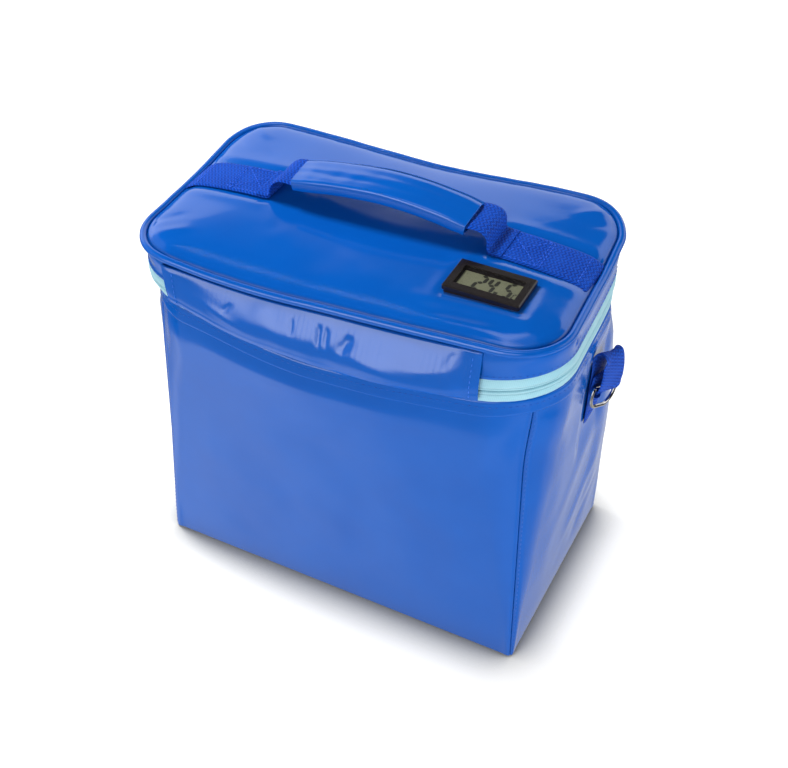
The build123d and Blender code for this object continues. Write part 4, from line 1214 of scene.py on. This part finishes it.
# risers: from the sewn end up into the grip
for name, sx in (("left", -1), ("right", 1)):
    base_z = lid_surface([sx * 76.0], [5.0])[0][2]
    ctrl = np.array([(54, 283.6), (58.5, 284.0), (63.0, 284.7), (67.5, 284.8), (71.2, 283.9), (73.8, 281.7), (74.9, 278.8), (74.9, 276.0),
                     (74.7, base_z + 3.6), (75.2, base_z + 2.2), (77.5, base_z + 1.75), (84.0, base_z + 1.7)])
    if sx < 0:
        ctrl = np.array([(54, 279.9), (58.5, 280.0), (62.0, 280.2), (65.5, 279.9), (68.6, 278.7), (71.2, 276.6), (72.9, 274.0), (73.8, 271.6),
                         (74.6, base_z + 2.4), (76.4, base_z + 1.85), (80.0, base_z + 1.75), (84.0, base_z + 1.7)])
    # smooth the control line
    L = np.concatenate([[0], np.cumsum(np.linalg.norm(np.diff(ctrl, axis=0), axis=1))])
    q = np.linspace(0, L[-1], 46)
    cx, cz = np.interp(q, L, ctrl[:, 0]), np.interp(q, L, ctrl[:, 1])
    for _ in range(3):
        cx[1:-1] = (cx[:-2] + 2 * cx[1:-1] + cx[2:]) / 4
        cz[1:-1] = (cz[:-2] + 2 * cz[1:-1] + cz[2:]) / 4
    C = np.stack([sx * cx, np.full_like(cx, web_y), cz], axis=1)
    T, Aw, Nn = frames_along(C, (0, 1, 0))
    if Nn[5][2] < 0:
        Nn = -Nn
    o, s = ribbon("riser_" + name, C, Aw, Nn, web_w - 0.4, web_t, WEB, None, "handle_riser_" + name, v0=3.0)
    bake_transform(o)

# ---------------------------------------------------------------------------
# the grip: webbing and foam in a wrapped sleeve with a lapped edge on top
# ---------------------------------------------------------------------------
NL, NS = 78, 44
xs = np.concatenate([[-56.4, -56.0], np.linspace(-55.4, 59.6, NL - 4), [60.2, 60.6]])


def arch_z(x):
    k = np.clip(np.asarray(x, float) / 60.0, -1.05, 1.05)
    return 289.0 - 6.0 * k * k - 3.6 * smooth(25, -62, x)


def grip_section(x, i):
    """Closed section at x: y across (front is -), z up, from the centre line."""
    hw, ht = 16.5, 5.5
    end = smooth(60.6, 50.0, x if x > 0 else -x + 4.2)
    hw_ = hw * (0.985 + 0.015 * end) + 0.25 * float(wave(x, 0.0, 34.0, 14))
    ht_ = ht * (0.90 + 0.10 * end)
    pts = []
    for j in range(NS):
        a = 2 * math.pi * j / NS
        c, s_ = math.cos(a), math.sin(a)
        n = 4.4
        ya = abs(c) ** 0.9                       # evenly spaced across the flat top
        y = hw_ * math.copysign(ya, c)
        z = ht_ * math.copysign(max(0.0, 1 - ya ** n) ** (1 / n), s_)
        # the top falls away to a soft back edge
        across_ = (y + hw_) / (2 * hw_)
        if z > 0:
            z -= 3.0 * smooth(0.66, 1.0, across_) * (z / ht_)
        y -= 1.2 * smooth(0.55, 1.0, across_)
        # crease along the front upper edge: the wrap stands sharp there
        fr = math.exp(-((y + hw_ - 0.8) / 1.5) ** 2) * (1 if z > 0 else 0)
        z += 0.8 * fr * smooth(0, ht_, z)
        if z > 0:
            # top: a lapped edge wanders along it; the front strip is flat, the back swells
            lap = -4.6 + 1.3 * float(wave(x, 0.0, 60.0, 21)) + 6.0 * float(smooth(-30, -62, x)) * 0.35
            z += 0.55 * math.exp(-((y - lap - 0.4) / 1.4) ** 2) - 0.3 * math.exp(-((y - lap + 2.6) / 1.9) ** 2)
            z += 0.35 * math.exp(-((y - 5.0) / 6.0) ** 2) + 1.5 * (across_ - 0.5) * (z / ht_)
            z += 0.14 * float(wave(x, y * 1.4, 21.0, 19)) * end
            for (xc, yc, a0, wx, wy) in ((-16, -3.5, 0.4, 7, 3.0), (-27, -7.5, -0.3, 6, 3.0), (8, -4.0, 0.2, 9, 2.5), (40, -3.0, 0.25, 8, 3.0)):
                z += a0 * math.exp(-((x - xc) / wx) ** 2 - ((y - yc) / wy) ** 2)
        else:
            z += 0.15 * float(wave(x, y, 25.0, 27))
        pts.append((y, z))
    return np.array(pts)


rows = []
for i, x in enumerate(xs):
    sec = grip_section(x, i)
    zc = float(arch_z(x))
    slope = (float(arch_z(x + 0.5)) - float(arch_z(x - 0.5)))
    nz = 1 / math.sqrt(1 + slope * slope); nx = -slope * nz
    y = web_y + sec[:, 0]
    rows.append(np.stack([x + nx * sec[:, 1], y, zc + nz * sec[:, 1]], axis=1))
P = np.array(rows)
uvg = np.zeros((P.shape[0], NS + 1, 2))
per = np.concatenate([[0], np.cumsum(np.linalg.norm(np.diff(np.concatenate([P[30], P[30][:1]]), axis=0), axis=1))])
uvg[..., 0] = xs[:, None]
uvg[..., 1] = per[None, :]
grip = grid_mesh("sleeve", P, PVC, wrap_v=True, uv=uvg)
bm = bmesh.new(); bm.from_mesh(grip.data)
bmesh.ops.recalc_face_normals(bm, faces=bm.faces)
bm.to_mesh(grip.data); bm.free()
solidify(grip, 1.1)
subsurf(grip, 1)
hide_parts("grip_sleeve")
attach(grip, "handle_grip")

# foam and webbing inside, seen at the sleeve's ends
xs2 = np.linspace(-54.2, 58.2, 40)
rows = []
for x in xs2:
    sec = grip_section(x, 0) * np.array([0.90, 0.70])
    slope = (float(arch_z(x + 0.5)) - float(arch_z(x - 0.5)))
    nz = 1 / math.sqrt(1 + slope * slope); nx = -slope * nz
    rows.append(np.stack([x + nx * sec[:, 1], web_y + sec[:, 0], arch_z(x) + nz * sec[:, 1]], axis=1))
o = grid_mesh("grip_pad", np.array(rows), FOAM, wrap_v=True)
bm = bmesh.new(); bm.from_mesh(o.data)
bmesh.ops.holes_fill(bm, edges=[e for e in bm.edges if e.is_boundary], sides=0)
bmesh.ops.recalc_face_normals(bm, faces=bm.faces)
bm.to_mesh(o.data); bm.free()
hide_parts("grip_foam")
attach(o, "handle_grip")
xs2 = np.linspace(-59.0, 59.0, 40)
C = np.stack([xs2, np.full_like(xs2, web_y), arch_z(xs2)], axis=1)
T, Aw, Nn = frames_along(C, (0, 1, 0))
o, s = ribbon("grip_strap", C, Aw, Nn, web_w - 1.6, 1.5, WEB, "handle_grip", "grip_webbing")

# ---------------------------------------------------------------------------
# front flap
# ---------------------------------------------------------------------------
FX = np.array([-106, -103.1, -84.2, -61.0, -45.6, -18.2, 5.2, 28.4, 46.5, 73.2, 104.8, 106])
FZ = np.array([226.0, 225.8, 223.6, 219.8, 218.6, 219.0, 218.8, 218.9, 220.4, 223.0, 227.4, 227.8])
fx = np.concatenate([[-106.0, -105.6, -105.0, -104.2, -103.2], np.linspace(-102, 101, 190), [102.2, 103.2, 104.0, 104.6, 105.0]])
ft = np.concatenate([[0, 0.04], np.linspace(0.08, 0.93, 34), [0.955, 0.975, 0.99, 1.0]])
zb = np.interp(fx, FX, FZ)
for _ in range(40):
    zb[1:-1] = (zb[:-2] + 2 * zb[1:-1] + zb[2:]) / 4
kf = np.clip(1 - (fx / 112.0) ** 2, 0, 1)
# top edge, under the piping
top_line = settle(np.stack([fx, np.full_like(fx, -80.9), np.full_like(fx, 259.2)], axis=1))
rows = []
for i, x in enumerate(fx):
    y0, z0 = top_line[i, 1], top_line[i, 2]
    y1, z1 = -83.6 - 8.4 * kf[i], zb[i] + 0.6 * kf[i]
    h_ = z0 - z1
    # the upper half leans out over the zip, the lower part hangs
    lean = (y0 - y1) + 1.6 * kf[i] + 0.5 + 4.2 * float(smooth(8, 52, x) * (1 - smooth(86, 104, x)))
    kk = float(smooth(0.10, 0.55, kf[i])) if x < 0 else float(smooth(-0.10, 0.25, kf[i]))
    lean_c = np.array([0.0, 0.11, 0.47, 0.82, 0.98, 0.99, (y0 - y1) / lean])
    flat_c = np.array([0.0, 0.35, 0.60, 0.80, 0.95, 1.0, (y0 - y1) / lean])
    cc = flat_c * (1 - kk) + lean_c * kk
    ctrl = np.array([(y0 - c_ * lean, z0 - f_ * h_) for c_, f_ in zip(cc, (0.0, 0.06, 0.28, 0.50, 0.68, 0.85, 1.0))])
    L_ = np.concatenate([[0], np.cumsum(np.linalg.norm(np.diff(ctrl, axis=0), axis=1))])
    fine = np.linspace(0, L_[-1], 61)
    cy, cz = np.interp(fine, L_, ctrl[:, 0]), np.interp(fine, L_, ctrl[:, 1])
    for _ in range(26):
        cy[1:-1] = (cy[:-2] + 2 * cy[1:-1] + cy[2:]) / 4
        cz[1:-1] = (cz[:-2] + 2 * cz[1:-1] + cz[2:]) / 4
    q = ft * L_[-1]
    rows.append(np.stack([np.full(len(ft), x), np.interp(q, fine, cy), np.interp(q, fine, cz)], axis=1))
F = np.array(rows)                                # along x, down t
X, T_ = F[..., 0], np.broadcast_to(ft[None, :], F.shape[:2])
amp = smooth(0.0, 0.18, T_)
out = 0.55 * wave(X, T_ * 40, 70.0, 41) * amp + 0.22 * wave(X, T_ * 40, 26.0, 43) * amp
# fine upright ribs where the cloth is stretched over the zip
rib_ = 0.6 * np.sin(X * 2 * math.pi / 3.4 + 1.4 * np.sin(X / 9.0)) + 0.4 * np.sin(X * 2 * math.pi / 2.15 + 2.0 * np.sin(X / 17.0))
rib_ = rib_ * (0.55 + 0.45 * wave(X, T_ * 6, 24.0, 61))
out += 0.19 * rib_ * smooth(-42, -6, X) * (1 - smooth(78, 98, X)) * smooth(0.04, 0.22, T_) * (1 - smooth(0.50, 0.74, T_))
out += 0.10 * rib_ * smooth(-100, -84, X) * (1 - smooth(-64, -46, X)) * smooth(0.02, 0.14, T_) * (1 - smooth(0.36, 0.6, T_))
# pinched creases
for (x0, t0, x1, t1, a, w) in ((-14.5, 0.20, -13, 0.50, -0.5, 1.4), (4.2, 0.18, 5.7, 0.60, -0.95, 1.6), (9.4, 0.2, 10.4, 0.58, -0.85, 1.5),
                               (26.0, 0.24, 19.5, 0.56, -1.1, 3.2), (-78, 0.52, -46, 0.72, 0.6, 4.0), (18, 0.52, 88, 0.86, 0.6, 5.5),
                               (30, 0.72, 96, 0.98, -0.5, 4.0), (-62, 0.52, -56, 0.28, -0.35, 2.0), (88, 0.12, 86, 0.36, -0.45, 2.0), (96, 0.3, 60, 0.62, 0.35, 4.5)):
    Tm = T_ * 40
    ex, ey = x1 - x0, (t1 - t0) * 40
    ln = math.hypot(ex, ey)
    al = ((X - x0) * ex + (Tm - t0 * 40) * ey) / ln
    of = ((X - x0) * ey - (Tm - t0 * 40) * ex) / ln
    out += a * np.exp(-(of / w) ** 2) * smooth(-2, ln * 0.3, al) * (1 - smooth(ln * 0.6, ln + 2, al))
# turned-under hems at the two ends and along the bottom stand a little proud
out += 0.5 * np.exp(-((X - 100.6) / 3.6) ** 4) + 0.5 * np.exp(-((X + 101.6) / 3.6) ** 4)
out += 0.42 * smooth(0.84, 0.88, T_)
F[..., 1] -= out
F[..., 0] += smooth(-78, -106, X) * (-3.0 * (1 - T_) + 2.0 * T_)
uvf = np.stack([X, T_ * 45.0], axis=2)
flap = grid_mesh("flap_panel", F, PVC, uv=uvf, flip=True)
solidify(flap, 1.3, offset=-1.0)
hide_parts("front_flap")
NF = -col_normals(F)
NF[NF[..., 1] > 0] *= -1
c_r, c_l = int(np.argmin(np.abs(fx - 99.4))), int(np.argmin(np.abs(fx + 98.4)))
r_b = int(np.argmin(np.abs(ft - 0.90)))
flap_stitch = stitch_row("flap_stitches", [(F[c_r, 3:-3], NF[c_r, 3:-3]), (F[c_l, 3:-3], NF[c_l, 3:-3])], "flap", THREAD, length=2.4, gap=1.1, r=0.27)
top_z_mm = float(np.mean(top_line[:, 2]))
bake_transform(flap)

# ---------------------------------------------------------------------------
# side tabs
# ---------------------------------------------------------------------------
bar_dir = np.array([0.22, 0.87, -0.44]); bar_dir /= np.linalg.norm(bar_dir)


def catmull(P, n):
    P = np.asarray(P, float)
    Q = np.concatenate([[2 * P[0] - P[1]], P, [2 * P[-1] - P[-2]]])
    out = []
    for i in range(1, len(Q) - 2):
        for k in range(n):
            t = k / n
            a, b, c, d = Q[i - 1], Q[i], Q[i + 1], Q[i + 2]
            out.append(0.5 * ((2 * b) + (-a + c) * t + (2 * a - 5 * b + 4 * c - d) * t * t + (-a + 3 * b - 3 * c + d) * t ** 3))
    out.append(Q[-2])
    return np.array(out)


up1 = np.array([0, 1.0, 0])
tab_c = [(141.7, 15.6, 150.4), (142.1, 15.6, 161.0), (142.6, 15.6, 172.0), (143.3, 15.4, 181.0), (144.4, 15.3, 190.0), (145.9, 15.1, 197.6),
         (147.5, 14.95, 202.2), (149.5, 14.8, 204.2), (151.7, 14.65, 202.8), (152.9, 14.5, 199.2), (153.5, 14.3, 191.8), (153.2, 14.1, 184.5),
         (152.3, 14.0, 179.0), (151.3, 13.98, 175.4), (149.4, 13.95, 174.5), (147.6, 13.95, 175.7), (147.1, 14.0, 178.6), (147.7, 14.2, 184.0), (148.5, 14.4, 190.0)]
tab_w_dirs = [up1, up1, up1, np.array([0.05, 0.99, -0.1]), np.array([0.08, 0.98, -0.16]), np.array([0.15, 0.94, -0.28])] + [bar_dir] * 13
for name, sx in (("right", 1), ("left", -1)):
    C = catmull(tab_c, 5)
    W_ = catmull(tab_w_dirs, 5)
    W_ /= np.linalg.norm(W_, axis=1)[:, None]
    C, W_ = C * [sx, 1, 1], W_ * [sx, 1, 1]
    T, Aw, Nn = frames_along(C, W_)
    o, s = ribbon("tab_" + name, C, Aw, Nn, 24.6, 1.5, WEB, "carrier_body", "ring_tab_" + name, cols=19)
    # sewing of the tab to the wall, and across the fold below the cap
    def tab_run(i0, w0, i1, w1, side_=1.0):
        t = np.linspace(0, 1, 14)
        idx = i0 + (i1 - i0) * t
        pts, nn = [], []
        for k, ii in enumerate(idx):
            c = np.array([np.interp(ii, np.arange(len(C)), C[:, q]) for q in range(3)])
            aw = np.array([np.interp(ii, np.arange(len(C)), Aw[:, q]) for q in range(3)])
            n = np.array([np.interp(ii, np.arange(len(C)), Nn[:, q]) for q in range(3)])
            n = n / np.linalg.norm(n)
            if n[0] * sx < 0:
                n = -n
            wv = w0 + (w1 - w0) * t[k]
            pts.append(c + aw * wv + n * 0.75 * side_)
            nn.append(n * side_)
        return np.array(pts), np.array(nn)
    runs = [tab_run(1.2, -10, 1.2, 10), tab_run(2.4, -10, 2.4, 10), tab_run(8.5, -10, 8.5, 10), tab_run(1.2, -10, 8.5, 10), tab_run(1.2, 10, 8.5, -10)]
    stitch_row("tab_stitches_" + name, runs, "carrier_body", THREAD_WEB, length=2.2, gap=0.8, r=0.25)

# ---------------------------------------------------------------------------
# inner liner: a welded tub with soft corners and a rim over the foam
# ---------------------------------------------------------------------------
def liner_dims(z, off=0.0):
    k = z / body_h
    w = base_w + (top_w - base_w) * k - 2 * 13.2
    d = base_d + (top_d - base_d) * k - 2 * 13.2
    r = 5.0 + (top_r - 13.2 - 5.0) * k
    return w + 2 * off, d + 2 * off, max(r + off, 1.0)


rows, uvr = [], []
N_C, STEP = 12, 3.2
top_rows = []
for of, dz in ((11.2, -0.9), (10.6, -0.2), (9.4, 0.15), (6.0, 0.3), (3.0, 0.35), (1.2, 0.2), (0.2, -0.2), (-0.5, -1.0)):
    W, D, R = liner_dims(225.0, of)
    P0, N0, s0 = outline(W, D, R, nc=N_C, step=STEP)
    sw = 0.12 * wave(s0[:-1], 0 * s0[:-1], 24, 51)
    rows.append(np.concatenate([P0, (224.9 + dz + sw)[:, None]], axis=1))
for z in np.concatenate([[222.5, 220, 216], np.linspace(210, 30, 34), [25, 22, 20.2, 18.9, 18.1]]):
    W, D, R = liner_dims(z, -0.8)
    P0, N0, s0 = outline(W, D, R, nc=N_C, step=STEP)
    fold = 3.0 - math.sqrt(max(0.0, 9.0 - max(0.0, 21.0 - z) ** 2)) if z < 21 else 0.0
    hang = smooth(17, 60, z) * (1 - smooth(190, 220, z))
    sw = hang * (0.9 * wave(s0[:-1], z + 0 * s0[:-1], 60, 53) + 0.35 * wave(s0[:-1], z + 0 * s0[:-1], 24, 55))
    weld = 0.5 * np.exp(-((z - 213.0) / 1.4) ** 2)
    Q = P0 + N0 * (-fold - 0.5 * hang - weld + np.minimum(sw, 0.35))[:, None]
    rows.append(np.concatenate([Q, np.full((len(Q), 1), z)], axis=1))
for k in np.concatenate([[2.2, 3.6, 6.0, 7.0, 8.0, 10.0], np.linspace(14, liner_dims(18.0, -0.8)[1] / 2 - 1, 16)]):
    W, D, R = liner_dims(18.0, -0.8)
    f = k / (D / 2 - 1)
    P0, N0, s0 = outline(W - 2 * k - 2, D - 2 * k - 2, max(4.5 * (1 - f), 0.0), nc=N_C, step=STEP)
    z = 17.2 + 0.35 * math.exp(-((k - 7) / 0.9) ** 2) + 0.18 * wave(P0[:, 0], P0[:, 1], 50, 57) + 0.2
    rows.append(np.concatenate([P0, (z * np.ones(len(P0)))[:, None]], axis=1))
P = settle(np.array(rows).transpose(1, 0, 2))
liner = grid_mesh("tub_liner", P, LINER, wrap_u=True, flip=True)
merge_close(liner, 0.05)
solidify(liner, 0.6)
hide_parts("inner_liner")
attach(liner, "carrier_body")

# ---------------------------------------------------------------------------
# CAD pieces that show: their materials and small edge breaks
# ---------------------------------------------------------------------------
def dress(node, mat, bevel=None, seg=2):
    ob = NODES[node]
    ob.data.materials.clear()
    ob.data.materials.append(mat)
    if bevel:
        md = ob.modifiers.new("edge", "BEVEL")
        md.width = bevel * MM
        md.segments = seg
        md.limit_method = "ANGLE"
        md.angle_limit = math.radians(35)
        md.harden_normals = False


dress("thermometer_housing", BLACK, 0.45, 3)
dress("thermometer_window", WINDOW, 0.1, 1)
dress("lcd_glass", LCD)
dress("circuit_board", PCB)
dress("button_cells", CELL, 0.3)
dress("thermometer_rear_cover", BLACK)
dress("probe_grommet", RUBBER, 0.3)
for nd in ("zip_slider_front", "zip_slider_rear", "zip_pull_front", "zip_pull_rear"):
    dress(nd, METAL, 0.22)
for nd in ("d_ring_left", "d_ring_right"):
    dress(nd, RING)

# figures of the display: seven-segment strokes lying on the liquid crystal panel
glass_lo, glass_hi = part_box("lcd_glass")
gz = glass_hi.z * 1000 + 0.03


def segment_digits(text, x0, y0, h, w, t, lean=0.12):
    on = {"0": "abcdef", "1": "bc", "2": "abged", "3": "abgcd", "4": "fgbc", "5": "afgcd", "6": "afgcde", "7": "abc", "8": "abcdefg", "9": "abcfgd", "C": "afed", " ": ""}
    verts, faces = [], []

    def bar(x1, y1, x2, y2):
        d = np.array([x2 - x1, y2 - y1], float)
        ln = np.linalg.norm(d); d /= ln
        n = np.array([-d[1], d[0]])
        a, b = np.array([x1, y1]) + d * t * 0.12, np.array([x2, y2]) - d * t * 0.12
        pts = [a, a + d * t * 0.5 + n * t / 2, b - d * t * 0.5 + n * t / 2, b, b - d * t * 0.5 - n * t / 2, a + d * t * 0.5 - n * t / 2]
        i = len(verts)
        for z in (gz, gz + 0.06):
            for p in pts:
                verts.append((p[0] + lean * (p[1] - y0), p[1], z))
        faces.append(tuple(i + 6 + k for k in range(6))[::-1])
        faces.append(tuple(i + k for k in range(6)))
        for k in range(6):
            faces.append((i + k, i + (k + 1) % 6, i + 6 + (k + 1) % 6, i + 6 + k)[::-1])

    x = x0
    for ch in text:
        if ch == ".":
            i = len(verts)
            q = t * 0.55
            for z in (gz, gz + 0.06):
                for p in ((x - q, y0), (x + q, y0), (x + q, y0 + 2 * q), (x - q, y0 + 2 * q)):
                    verts.append((p[0] + lean * (p[1] - y0), p[1], z))
            faces.extend([(i + 4, i + 5, i + 6, i + 7), (i + 3, i + 2, i + 1, i)] + [(i + k, i + (k + 1) % 4, i + 4 + (k + 1) % 4, i + 4 + k) for k in range(4)])
            x += t * 1.7
            continue
        seg = {"a": (x, y0 + h, x + w, y0 + h), "b": (x + w, y0 + h, x + w, y0 + h / 2), "c": (x + w, y0 + h / 2, x + w, y0),
               "d": (x, y0, x + w, y0), "e": (x, y0, x, y0 + h / 2), "f": (x, y0 + h / 2, x, y0 + h), "g": (x, y0 + h / 2, x + w, y0 + h / 2)}
        for c in on[ch]:
            bar(*seg[c])
        x += w + t * 1.5
    return verts, faces, x


v1, f1, x_end = segment_digits("24.5", LCD_X - 8.6, LCD_Y - 6.6, 12.8, 3.9, 2.15)
v2, f2, _ = segment_digits("C", x_end - 0.9, LCD_Y - 6.5, 4.6, 1.8, 0.8)
f2 = [tuple(i + len(v1) for i in f) for f in f2]
o = make_mesh("display_figures", np.array(v1 + v2), f1 + f2, SEGMENT, smooth_shade=False)
bm = bmesh.new(); bm.from_mesh(o.data)
bmesh.ops.recalc_face_normals(bm, faces=bm.faces)
bm.to_mesh(o.data); bm.free()
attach(o, "lid")

# dark border round the display, under the window; its wider top band is painted shadow of the recess wall
fr = []
ff = []
for (xa, ya, xb, yb) in ((-20.4, 7.2, 20.4, 10.6), (-20.4, -10.6, 20.4, -8.2), (-20.4, -8.2, -18.2, 7.2), (18.2, -8.2, 20.4, 7.2)):
    i = len(fr)
    for z in (gz, gz + 0.05):
        for p in ((xa, ya), (xb, ya), (xb, yb), (xa, yb)):
            fr.append((LCD_X + p[0], LCD_Y + p[1], z))
    ff.extend([(i + 4, i + 5, i + 6, i + 7), (i + 3, i + 2, i + 1, i)] + [(i + k, i + (k + 1) % 4, i + 4 + (k + 1) % 4, i + 4 + k) for k in range(4)])
o = make_mesh("display_mask", np.array(fr), ff, BLACK, smooth_shade=False)
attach(o, "lid")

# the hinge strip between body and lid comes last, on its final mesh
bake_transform(hinge)

# ---------------------------------------------------------------------------
# studio
# ---------------------------------------------------------------------------
def floor_material(name):
    """Pale sweep that glows softly; its glow is cut close to whatever stands on it, a painted contact shadow."""
    M = Mat(name)
    ob, uv = M.coords()
    n1 = M.noise(ob, 3.0, 2.0, 0.5)
    M.link(M.mix(M.remap(n1, 0.3, 0.7, 0.0, 1.0), rgb(0.40, 0.40, 0.385), rgb(0.41, 0.41, 0.395)), M.b.inputs["Base Color"])
    M.b.inputs["Roughness"].default_value = 0.85
    M.b.inputs["Specular IOR Level"].default_value = 0.2
    M.b.inputs["Emission Color"].default_value = rgb(1.0, 1.0, 1.0)
    # painted contact shadow: ambient occlusion takes the floor's glow away next to the bag
    ao = M.n("AmbientOcclusion")
    ao.samples = 16
    ao.inputs["Distance"].default_value = 0.032
    M.link(M.remap(ao.outputs["AO"], 0.5, 0.98, 0.0, 0.80), M.b.inputs["Emission Strength"])
    return M.m


FLOOR = floor_material("studio_floor")


def quad(name, x0, y0, x1, y1, z, mat):
    o = make_mesh(name, [(x0, y0, z), (x1, y0, z), (x1, y1, z), (x0, y1, z)], [(0, 1, 2, 3)], mat, smooth_shade=False)
    return o


studio = quad("floor_sweep", -9000, -9000, 9000, 9000, -0.05, FLOOR)
studio.visible_glossy = False

world = bpy.data.worlds.new("studio")
bpy.context.scene.world = world
world.use_nodes = True
wt = world.node_tree
wt.nodes.clear()
wo = wt.nodes.new("ShaderNodeOutputWorld")


def wn(kind, **kw):
    node = wt.nodes.new("ShaderNode" + kind)
    for k, v in kw.items():
        setattr(node, k, v)
    return node


def wmath(op, a, b=0.0):
    node = wn("Math", operation=op)
    for i, q in enumerate((a, b)):
        if isinstance(q, bpy.types.NodeSocket):
            wt.links.new(q, node.inputs[i])
        else:
            node.inputs[i].default_value = q
    return node.outputs[0]


def wramp(v, a, b, c, d):
    node = wn("MapRange", interpolation_type="SMOOTHSTEP")
    wt.links.new(v, node.inputs[0])
    for i, x in enumerate((a, b, c, d)):
        node.inputs[1 + i].default_value = x
    return node.outputs[0]


tc = wn("TexCoord")
sep = wn("SeparateXYZ")
wt.links.new(tc.outputs["Generated"], sep.inputs[0])
dx, dy, dz = sep.outputs
# behind the object a bright sweep up to about 35 degrees, above it a dark ceiling
back_side = wramp(dy, -0.05, 0.25, 0.0, 1.0)
low = wramp(wmath("SUBTRACT", dz, wmath("MULTIPLY", wmath("MAXIMUM", wmath("ADD", dx, 0.35), 0.0), 0.05)), 0.518, 0.566, 1.0, 0.0)
above = wramp(dz, -0.06, 0.02, 0.0, 1.0)
sweep = wmath("MULTIPLY", wmath("MULTIPLY", back_side, low), wmath("MULTIPLY", above, 1.2))
left_side = wramp(dx, -0.55, -0.25, 1.0, 0.0)
left_low = wramp(dz, 0.60, 0.70, 1.0, 0.0)
left_part = wmath("MULTIPLY", wmath("MULTIPLY", left_side, left_low), wmath("MULTIPLY", above, 0.4))
# below the horizon the gloss sees the pale floor: bright in front on the left, less so on the right
below = wramp(dz, -0.66, -0.46, 1.0, 0.0)
front_bright = wmath("MULTIPLY", wramp(dx, -0.52, -0.22, 0.50, 0.0), wramp(dy, -0.1, 0.2, 1.0, 0.0))
rear_bright = wmath("ADD", wramp(dy, 0.15, 0.40, 0.0, 0.18), wramp(dy, 0.60, 0.80, 0.0, 0.26))
floor_seen = wmath("ADD", wmath("ADD", front_bright, rear_bright), 0.30)
low_front = wmath("MULTIPLY", wmath("MULTIPLY", wramp(dy, -0.5, -0.3, 1.0, 0.0), wramp(dz, -0.02, 0.06, 1.0, 0.0)), 0.24)
# the front window: a bright panel low in front, seen only by the gloss
panel_y = wramp(dy, -0.84, -0.62, 1.0, 0.0)
panel_x0, panel_x1 = wramp(dx, -0.78, -0.66, 0.0, 1.0), wramp(dx, 0.20, 0.45, 1.0, 0.0)
panel_z0, panel_z1 = wramp(dz, -0.02, 0.16, 0.0, 1.0), wramp(dz, 0.52, 0.84, 1.0, 0.35)
panel = wmath("MULTIPLY", wmath("MULTIPLY", wmath("MULTIPLY", panel_x0, panel_x1), wmath("MULTIPLY", panel_z0, panel_z1)), panel_y)
glow = wmath("ADD", wmath("ADD", wmath("MAXIMUM", sweep, left_part), wmath("MULTIPLY", below, floor_seen)), wmath("ADD", wmath("ADD", wmath("MULTIPLY", wmath("MULTIPLY", panel, wramp(wmath("ABSOLUTE", wmath("ADD", dx, 0.33), 0.0), 0.12, 0.34, 1.0, 0.45)), 4.1), wmath("MULTIPLY", wmath("MULTIPLY", wramp(dz, 0.90, 0.98, 0.0, 1.0), wramp(dx, -0.22, 0.02, 1.0, 0.12)), 2.3)), wmath("ADD", low_front, 0.02)))
bg_studio = wn("Background")
wt.links.new(glow, bg_studio.inputs["Strength"])
bg_studio.inputs["Color"].default_value = rgb(1, 1, 1)
bg_plain = wn("Background")
bg_plain.inputs["Color"].default_value = rgb(1.0, 1.0, 1.0)
bg_plain.inputs["Strength"].default_value = 1.0
bg_fill = wn("Background")
bg_fill.inputs["Color"].default_value = rgb(1.0, 1.0, 1.0)
bg_fill.inputs["Strength"].default_value = 0.22
lp = wn("LightPath")
mix1 = wn("MixShader")
wt.links.new(lp.outputs["Is Diffuse Ray"], mix1.inputs[0])
wt.links.new(bg_studio.outputs[0], mix1.inputs[1])
wt.links.new(bg_fill.outputs[0], mix1.inputs[2])
mix2 = wn("MixShader")
wt.links.new(lp.outputs["Is Camera Ray"], mix2.inputs[0])
wt.links.new(mix1.outputs[0], mix2.inputs[1])
wt.links.new(bg_plain.outputs[0], mix2.inputs[2])
wt.links.new(mix2.outputs[0], wo.inputs[0])


def area_light(name, at, aim, sx, sy, radiance):
    ld_ = bpy.data.lights.new(name, "AREA")
    ld_.shape = "RECTANGLE"
    ld_.size, ld_.size_y = sx, sy
    ld_.energy = radiance * math.pi * sx * sy
    ob = link(bpy.data.objects.new(name, ld_))
    ob.location = at
    d = Vector(aim) - Vector(at)
    ob.rotation_euler = d.to_track_quat("-Z", "Y").to_euler()
    return ob


# soft boxes light the cloth; what the gloss mirrors is drawn in the world above
for nm, at, aim, sx, sy, power in (("box_front", (-0.05, -1.5, 0.36), (0.0, 0.0, 0.14), 1.2, 0.6, 4.7),
                                   ("box_right", (1.5, -0.10, 0.36), (0.0, 0.0, 0.14), 1.2, 0.6, 6.6),
                                   ("box_left", (-1.5, 0.10, 0.40), (0.0, 0.0, 0.14), 1.2, 0.6, 3.6),
                                   ("box_back", (0.0, 1.5, 0.40), (0.0, 0.0, 0.14), 1.2, 0.6, 3.0),
                                   ("box_top", (-0.45, 0.08, 1.1), (0.0, 0.0, 0.2), 0.26, 0.26, 49.0)):
    box_ = area_light(nm, at, aim, sx, sy, power)
    box_.visible_glossy = False
